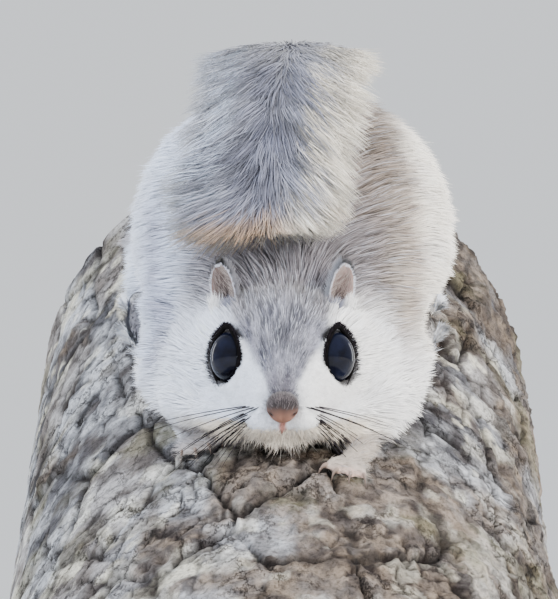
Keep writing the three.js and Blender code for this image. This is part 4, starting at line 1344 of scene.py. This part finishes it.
def grow_claws():
    parts = []
    s = np.linspace(0, 1, 10)
    horn = blend(srgb(150, 132, 122), srgb(70, 58, 52), np.r_[np.repeat(s, 10), 0, 1])
    for side in (1, -1):
        for (px, py), apart, toes, fan, heading, long, way, claw in (FORE_FOOT[side], HIND_FOOT):
            for i in range(toes):
                share = i / (toes - 1) - 0.5
                angle = heading + fan * share
                run = long * (1 - 0.55 * share**2) - 0.9 + claw * s
                x = px + share * apart * 1.2 + math.sin(angle) * run
                y = py + way * math.cos(angle) * run
                z = bark_z(x, y) + 1.55 + 0.75 * np.sin(np.pi * 0.8 * s) - 1.9 * s**2.2
                path = np.stack([x, y, z], -1)
                v, f = tube_along(path, 0.72 * (1 - 0.88 * s**1.3), 10, flat=0.6, tip=0.1)
                if side < 0:
                    v, f = v * [-1, 1, 1], f[:, ::-1]
                parts.append((v, f, horn))
    verts, faces, colours = joined(parts)
    put(make_object("claws", verts, faces, [CLAW], colours), "pale_fur")


CLAW, _ = painted_material("claw_horn", 0.35, Coat_Weight=0.3)
grow_claws()


# Trunk
def cell_noise(i, j, seed):
    s = np.sin(i * 127.1 + j * 311.7 + seed * 74.7) * 43758.5453
    return s - np.floor(s)


def bark_relief(angle, y):
    """Height of the bark over the trunk's mean radius, as in the solids, with finer cracks and flakes."""
    columns = round(2 * math.pi * LOW_RADIUS / PLATE)
    u, v = angle / (2 * np.pi) * columns, y / (PLATE * 1.7)
    first, second = np.full(len(u), 9.0), np.full(len(u), 9.0)
    which = np.zeros(len(u))
    for i in (-1, 0, 1):
        for j in (-1, 0, 1):
            ci, cj = np.floor(u) + i, np.floor(v) + j
            column = np.mod(ci, columns)
            du = ci + 0.5 + 0.7 * (cell_noise(column, cj, SEED) - 0.5) - u
            dv = cj + 0.5 + 0.7 * (cell_noise(column, cj, SEED + 1) - 0.5) - v
            gap = np.hypot(du, dv)
            near = gap < first
            second = np.where(near, first, np.minimum(second, gap))
            which = np.where(near, column * 31 + cj, which)
            first = np.where(near, gap, first)
    plate = step(second - first, 0, 0.35)
    relief = FISSURE * (plate - 1) + ROUGH * np.sin(u * 2.3 + np.sin(v * 3.1)) * np.cos(v * 4.7)
    return relief, second - first, which


def make_trunk():
    around, along, rings = ((400, 222, 11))
    y, turn = np.meshgrid(np.linspace(LOW, HIGH, along), np.arange(around) / around, indexing="ij")
    y, turn = y.ravel(), turn.ravel()
    angle = 2 * np.pi * turn + 0.42 * np.cos(2 * np.pi * turn)  # closer together on the upper side
    radius = trunk_radius(y)
    flat = np.stack([radius * np.cos(angle), y, radius * np.sin(angle)], -1)

    def noise(*layers):
        """Sum of noises over the bark, each with its share, size and seed."""
        return sum(share * value_noise(flat, size, seed) for share, size, seed in layers)

    warp = vector_noise(flat, 12, 70) * 1.6 + vector_noise(flat, 4, 80) + vector_noise(flat, 1.7, 84) * 0.35
    relief, plate, which = bark_relief(angle + warp[:, 0] / 58, y + warp[:, 1])
    crack = (1 - step(plate, 0.015, 0.08)) * step(noise((1, 13, 110), (0.3, 4, 111)), -0.3, 0.1)

    # a second, smaller net of cracks, and crusts that break up in scales
    small = flat * np.array([1, 0.8, 1]) / 7.5
    near = [np.full(len(y), 9.0), np.full(len(y), 9.0)]
    cell = np.floor(small + warp / 9)
    for a in (-1, 0, 1):
        for b in (-1, 0, 1):
            for c in (-1, 0, 1):
                k = cell + [a, b, c]
                i = k.astype(np.int64)
                centre = k + np.stack([lattice(i[:, 0], i[:, 1], i[:, 2], 200 + q) for q in range(3)], -1)
                gap = np.linalg.norm(centre - small - warp / 9, axis=1)
                near[1] = np.where(gap < near[0], near[0], np.minimum(near[1], gap))
                near[0] = np.minimum(near[0], gap)
    fine_crack = (1 - step(near[1] - near[0], 0.0, 0.1)) * step(noise((1, 17, 93)), -0.35, 0.15)
    crusty = noise((0.6, 26, 101), (0.4, 9, 102)) + 0.008 * flat[:, 0]
    crusty = step(crusty + 0.55 * soft_band(flat[:, 0], 4, 22) * soft_band(y, -22, 26), -0.02, 0.28)
    level = noise((0.6, 6.5, 90), (0.4, 2.8, 91))
    scales = (np.floor(level * 5) + step(level * 5 - np.floor(level * 5), 0.55, 0.95)) / 5
    rough = noise((0.5, 2.1, 103), (0.35, 1.1, 104))
    ridge = 1 - np.abs(value_noise(flat * np.array([1, 0.55, 1]), 3.4, 112)) - np.abs(noise((0.6, 1.6, 113)))
    height = 0.06 * relief + 0.1 - 1.2 * crack - 0.55 * fine_crack + scales * (0.4 + 1.1 * crusty)
    height = height + rough * (0.12 + 0.4 * crusty) + ridge * (0.15 + 0.85 * crusty)
    point = np.stack([np.cos(angle), np.zeros(len(y)), np.sin(angle)], -1)
    verts = point * (radius + height)[:, None]
    verts[:, 1] = y
    verts[:, 2] -= radius
    quads = grid_faces(along, around, wrap=True, flip=True)

    # grey plates with pale lichen, brown crusts and dark cracks
    tone = noise((0.5, 10, 94), (0.35, 3.6, 95), (0.3, 1.5, 105))
    c = blend(srgb(184, 187, 194), srgb(84, 84, 90), step(tone, -0.35, 0.4))
    each = cell_noise(which, which * 3, 5)
    c = blend(c, srgb(148, 138, 130), 0.45 * (each > 0.6))
    c = blend(c, blend(srgb(138, 122, 106), srgb(84, 74, 66), step(rough, -0.3, 0.3)), 0.8 * crusty)
    c = blend(c, srgb(40, 34, 32), 0.75 * crusty * (1 - step(ridge, 0.05, 0.45)))
    blobs = noise((0.55, 8, 96), (0.45, 3, 97))
    lichen = step(blobs, 0.12, 0.2) * step(noise((1, 30, 106)), -0.4, 0.1) * (1 - 0.6 * crusty)
    c = blend(c, blend(srgb(214, 213, 208), srgb(226, 222, 206), step(tone, -0.2, 0.2)), 0.8 * lichen)
    c = blend(c, srgb(126, 122, 84), 0.35 * step(noise((1, 13, 98)) + 0.3 * rough, 0.35, 0.7))
    c = blend(c, srgb(88, 80, 76), 0.45 * step(-scales - 0.2 * rough, 0.1, 0.4))
    grimy = step(value_noise(flat * np.array([1, 0.7, 1]), 4.5, 114) + 0.5 * rough, 0.2, 0.5)
    c = blend(c, srgb(58, 52, 52), 0.55 * grimy)
    beside = 0.7 * (1 - step(plate, 0.03, 0.16)) * step(tone, -0.3, 0.2)
    c = blend(c, srgb(22, 19, 19), 0.97 * np.maximum(crack, beside))
    c = blend(c, srgb(36, 30, 29), 0.9 * fine_crack)

    # cut ends, with the same rim
    blocks, colours, faces, total = [verts], [c], [quads], len(verts)
    for row, sign in ((0, -1), (along - 1, 1)):
        rim = verts[row * around : (row + 1) * around]
        centre = np.array([0, rim[0, 1], -trunk_radius(rim[0, 1])])
        share = (np.arange(rings) / rings)[::-1]
        end = (centre + (rim - centre)[None] * share[:, None, None]).reshape(-1, 3)
        index = np.arange(around)
        after = (index + 1) % around
        first = np.stack([row * around + index, row * around + after, total + after, total + index], -1)
        quad = np.vstack([first, grid_faces(rings, around, wrap=True) + total])
        blocks.append(end)
        colours.append(np.tile(srgb(190, 160, 124), (len(end), 1)))
        faces.append(quad[:, ::-1] if sign > 0 else quad)
        total += len(end)
    slots = np.zeros(sum(len(f) for f in faces))
    slots[len(quads) :] = 1
    verts, faces, colours = np.vstack(blocks), np.vstack(faces), np.vstack(colours)
    trunk = make_object("trunk_bark", verts, faces, [BARK, WOOD], colours, slots=slots)
    put(trunk, "bark", "perch_trunk")


def bark_material():
    made = material("bark", roughness=0.9, Specular_IOR_Level=0.2)
    nodes = Nodes(made)
    fine = nodes.noise(900, 8, None, 0.78)
    stops = [(0.36, (0.34, 0.33, 0.32)), (0.5, (0.92, 0.92, 0.92)), (0.62, (1.2, 1.2, 1.2))]
    grain = nodes.ramp(fine, stops)
    where = nodes.coordinates()
    bent = nodes.mix(where, nodes.add("TexNoise", Scale=240, Detail=4).outputs["Color"], 0.0035)
    cells = nodes.add("TexVoronoi", feature="DISTANCE_TO_EDGE", Scale=150)
    nodes.link(bent, cells.inputs["Vector"])
    split = nodes.ramp(cells.outputs["Distance"], [(0.0, (0.35, 0.33, 0.32)), (0.045, (1, 1, 1))])
    patchy = nodes.ramp(nodes.noise(55, 3), [(0.42, (0, 0, 0)), (0.56, (1, 1, 1))])
    split = nodes.mix((1, 1, 1), split, patchy)
    colour = nodes.mix(nodes.attribute(), grain, 1.0, "MULTIPLY")
    nodes.colour(nodes.mix(colour, split, 1.0, "MULTIPLY"))
    nodes.roughness(fine, 0.75, 0.98)
    nodes.bump(nodes.mix(fine, split, 0.5), 1.0, 0.0014)
    return made


def wood_material():
    """End grain: rings round the trunk's axis, with fine pores and a few radial checks."""
    made = material("end_grain", roughness=0.75)
    nodes = Nodes(made)
    axis = TURN @ np.array([0, 1, 0])
    centre = to_world(np.array([[0, MIDDLE_Y, -trunk_radius(MIDDLE_Y)]]))[0]
    mapping = nodes.add("Mapping", vector_type="TEXTURE")
    mapping.inputs["Location"].default_value = centre
    mapping.inputs["Rotation"].default_value = (math.atan2(axis[2], axis[1]) - math.pi / 2, 0, 0)
    nodes.link(nodes.add("TexCoord").outputs["Object"], mapping.inputs["Vector"])
    place = mapping.outputs["Vector"]
    bent = nodes.mix(place, nodes.add("TexNoise", Scale=38, Detail=3).outputs["Color"], 0.006)
    wave = nodes.add("TexWave", wave_type="RINGS", rings_direction="Z", Scale=210, Distortion=3.5, Detail=4)
    wave.inputs["Detail Scale"].default_value = 0.5
    nodes.link(bent, wave.inputs["Vector"])
    stops = [(0.0, srgb(128, 104, 80)), (0.4, srgb(172, 150, 122)), (1.0, srgb(184, 164, 136))]
    rings = nodes.ramp(wave.outputs["Fac"], stops)
    pores = nodes.noise(2200, 4)
    shade = nodes.ramp(pores, [(0.35, (0.8, 0.8, 0.8)), (0.6, (1, 1, 1))])
    patches = nodes.ramp(nodes.noise(26, 4), [(0.32, (0.62, 0.58, 0.54)), (0.62, (1, 1, 1))])
    colour = nodes.mix(rings, shade, 1.0, "MULTIPLY")
    nodes.colour(nodes.mix(colour, patches, 1.0, "MULTIPLY"))
    nodes.bump(wave.outputs["Fac"], 0.25, 0.0002)
    return made


BARK = bark_material()
WOOD = wood_material()
make_trunk()


# Stand
def stand_material():
    made = material("stand_wood", roughness=0.38, Coat_Weight=0.25, Coat_Roughness=0.3)
    nodes = Nodes(made)
    grain = nodes.noise(60, 8, nodes.coordinates((0.12, 1, 1)), 0.65)
    colour = nodes.ramp(grain, [(0.3, srgb(52, 34, 24)), (0.5, srgb(82, 56, 40)), (0.68, srgb(104, 74, 52))])
    nodes.colour(colour)
    nodes.roughness(grain, 0.3, 0.5)
    nodes.bump(grain, 0.08, 0.0004)
    return made


def rod_material():
    made = material("rod_steel", (0.42, 0.42, 0.44), 0.3, Metallic=1.0)
    nodes = Nodes(made)
    brushed = nodes.noise(900, 4, nodes.coordinates((1, 1, 0.04)), 0.6)
    nodes.roughness(brushed, 0.22, 0.42)
    nodes.bump(brushed, 0.06, 0.0002)
    return made


def dress(node, made):
    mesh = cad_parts[node].data
    mesh.materials.clear()
    mesh.materials.append(made)


dress("stand_base", stand_material())
ROD = rod_material()
dress("stand_rod_front", ROD)
dress("stand_rod_rear", ROD)


# Room, light and camera
def make_floor():
    size = 14
    verts = np.array([[-size, -size, 0], [size, -size, 0], [size, size, 0], [-size, size, 0]], float)
    pale = material("floor_pale", srgb(226, 226, 224), 0.9)
    make_object("floor", verts, [[0, 1, 2, 3]], [pale], world=True)


def area_light(name, place, target, size, power, colour=(1, 1, 1), mirrored=False):
    light = bpy.data.lights.new(name, "AREA")
    light.shape, light.energy, light.color = "RECTANGLE", power, colour
    light.size, light.size_y = size
    obj = bpy.data.objects.new(name, light)
    obj.location = place
    obj.visible_glossy = mirrored
    obj.rotation_euler = (Vector(target) - Vector(place)).to_track_quat("-Z", "Y").to_euler()
    bpy.context.scene.collection.objects.link(obj)


def make_light():
    world = bpy.data.worlds.new("studio")
    world.use_nodes = True
    sky = world.node_tree.nodes["Background"]
    sky.inputs["Color"].default_value = (0.83, 0.86, 0.9, 1)
    sky.inputs["Strength"].default_value = 1.15
    bpy.context.scene.world = world
    middle = (0, 0, 0.19)
    area_light("key", (-0.7, -0.8, 1.1), middle, (0.9, 0.7), 33, (0.9, 0.945, 1))
    area_light("fill", (1.1, -0.8, 0.7), middle, (0.9, 0.9), 39, (1, 0.95, 0.87))
    area_light("back", (0.5, 1.1, 1.0), middle, (0.9, 0.6), 22, (1, 0.97, 0.92))
    for side in (-1, 1):  # tall strips, which the eyes mirror on their outer sides
        area_light("strip", (side * 1.1, 0.75, 0.45), middle, (0.25, 0.8), 5, (0.94, 0.97, 1), mirrored=True)


# The photo's camera: its angle above the line of the back in degrees, what it looks at in the animal's frame
# and its distance in mm, with the focal length and the picture's longer side in pixels
VIEW_ANGLE, VIEW_AIM, VIEW_AWAY, FOCAL, LONG_SIDE = 26, np.array([-0.7, 40, 18]), 1420, 7118, 599


def make_camera():
    data = bpy.data.cameras.new("camera")
    data.sensor_width = 36
    data.lens = data.sensor_width * FOCAL / LONG_SIDE
    data.clip_start, data.clip_end = 0.05, 50
    camera = bpy.data.objects.new("camera", data)
    rise = math.radians(4)  # the trunk's lean less the angle above the back
    forward = np.array([0, math.cos(rise), math.sin(rise)])
    aim = TURN @ VIEW_AIM + ORIGIN
    angle = math.radians(VIEW_ANGLE)
    away = VIEW_AWAY + VIEW_AIM[1] * math.cos(angle) - VIEW_AIM[2] * math.sin(angle)
    camera.location = Vector((aim - forward * away) / 1000)
    camera.rotation_euler = Vector(forward).to_track_quat("-Z", "Y").to_euler()
    bpy.context.scene.collection.objects.link(camera)
    bpy.context.scene.camera = camera


make_floor()
make_light()
make_camera()
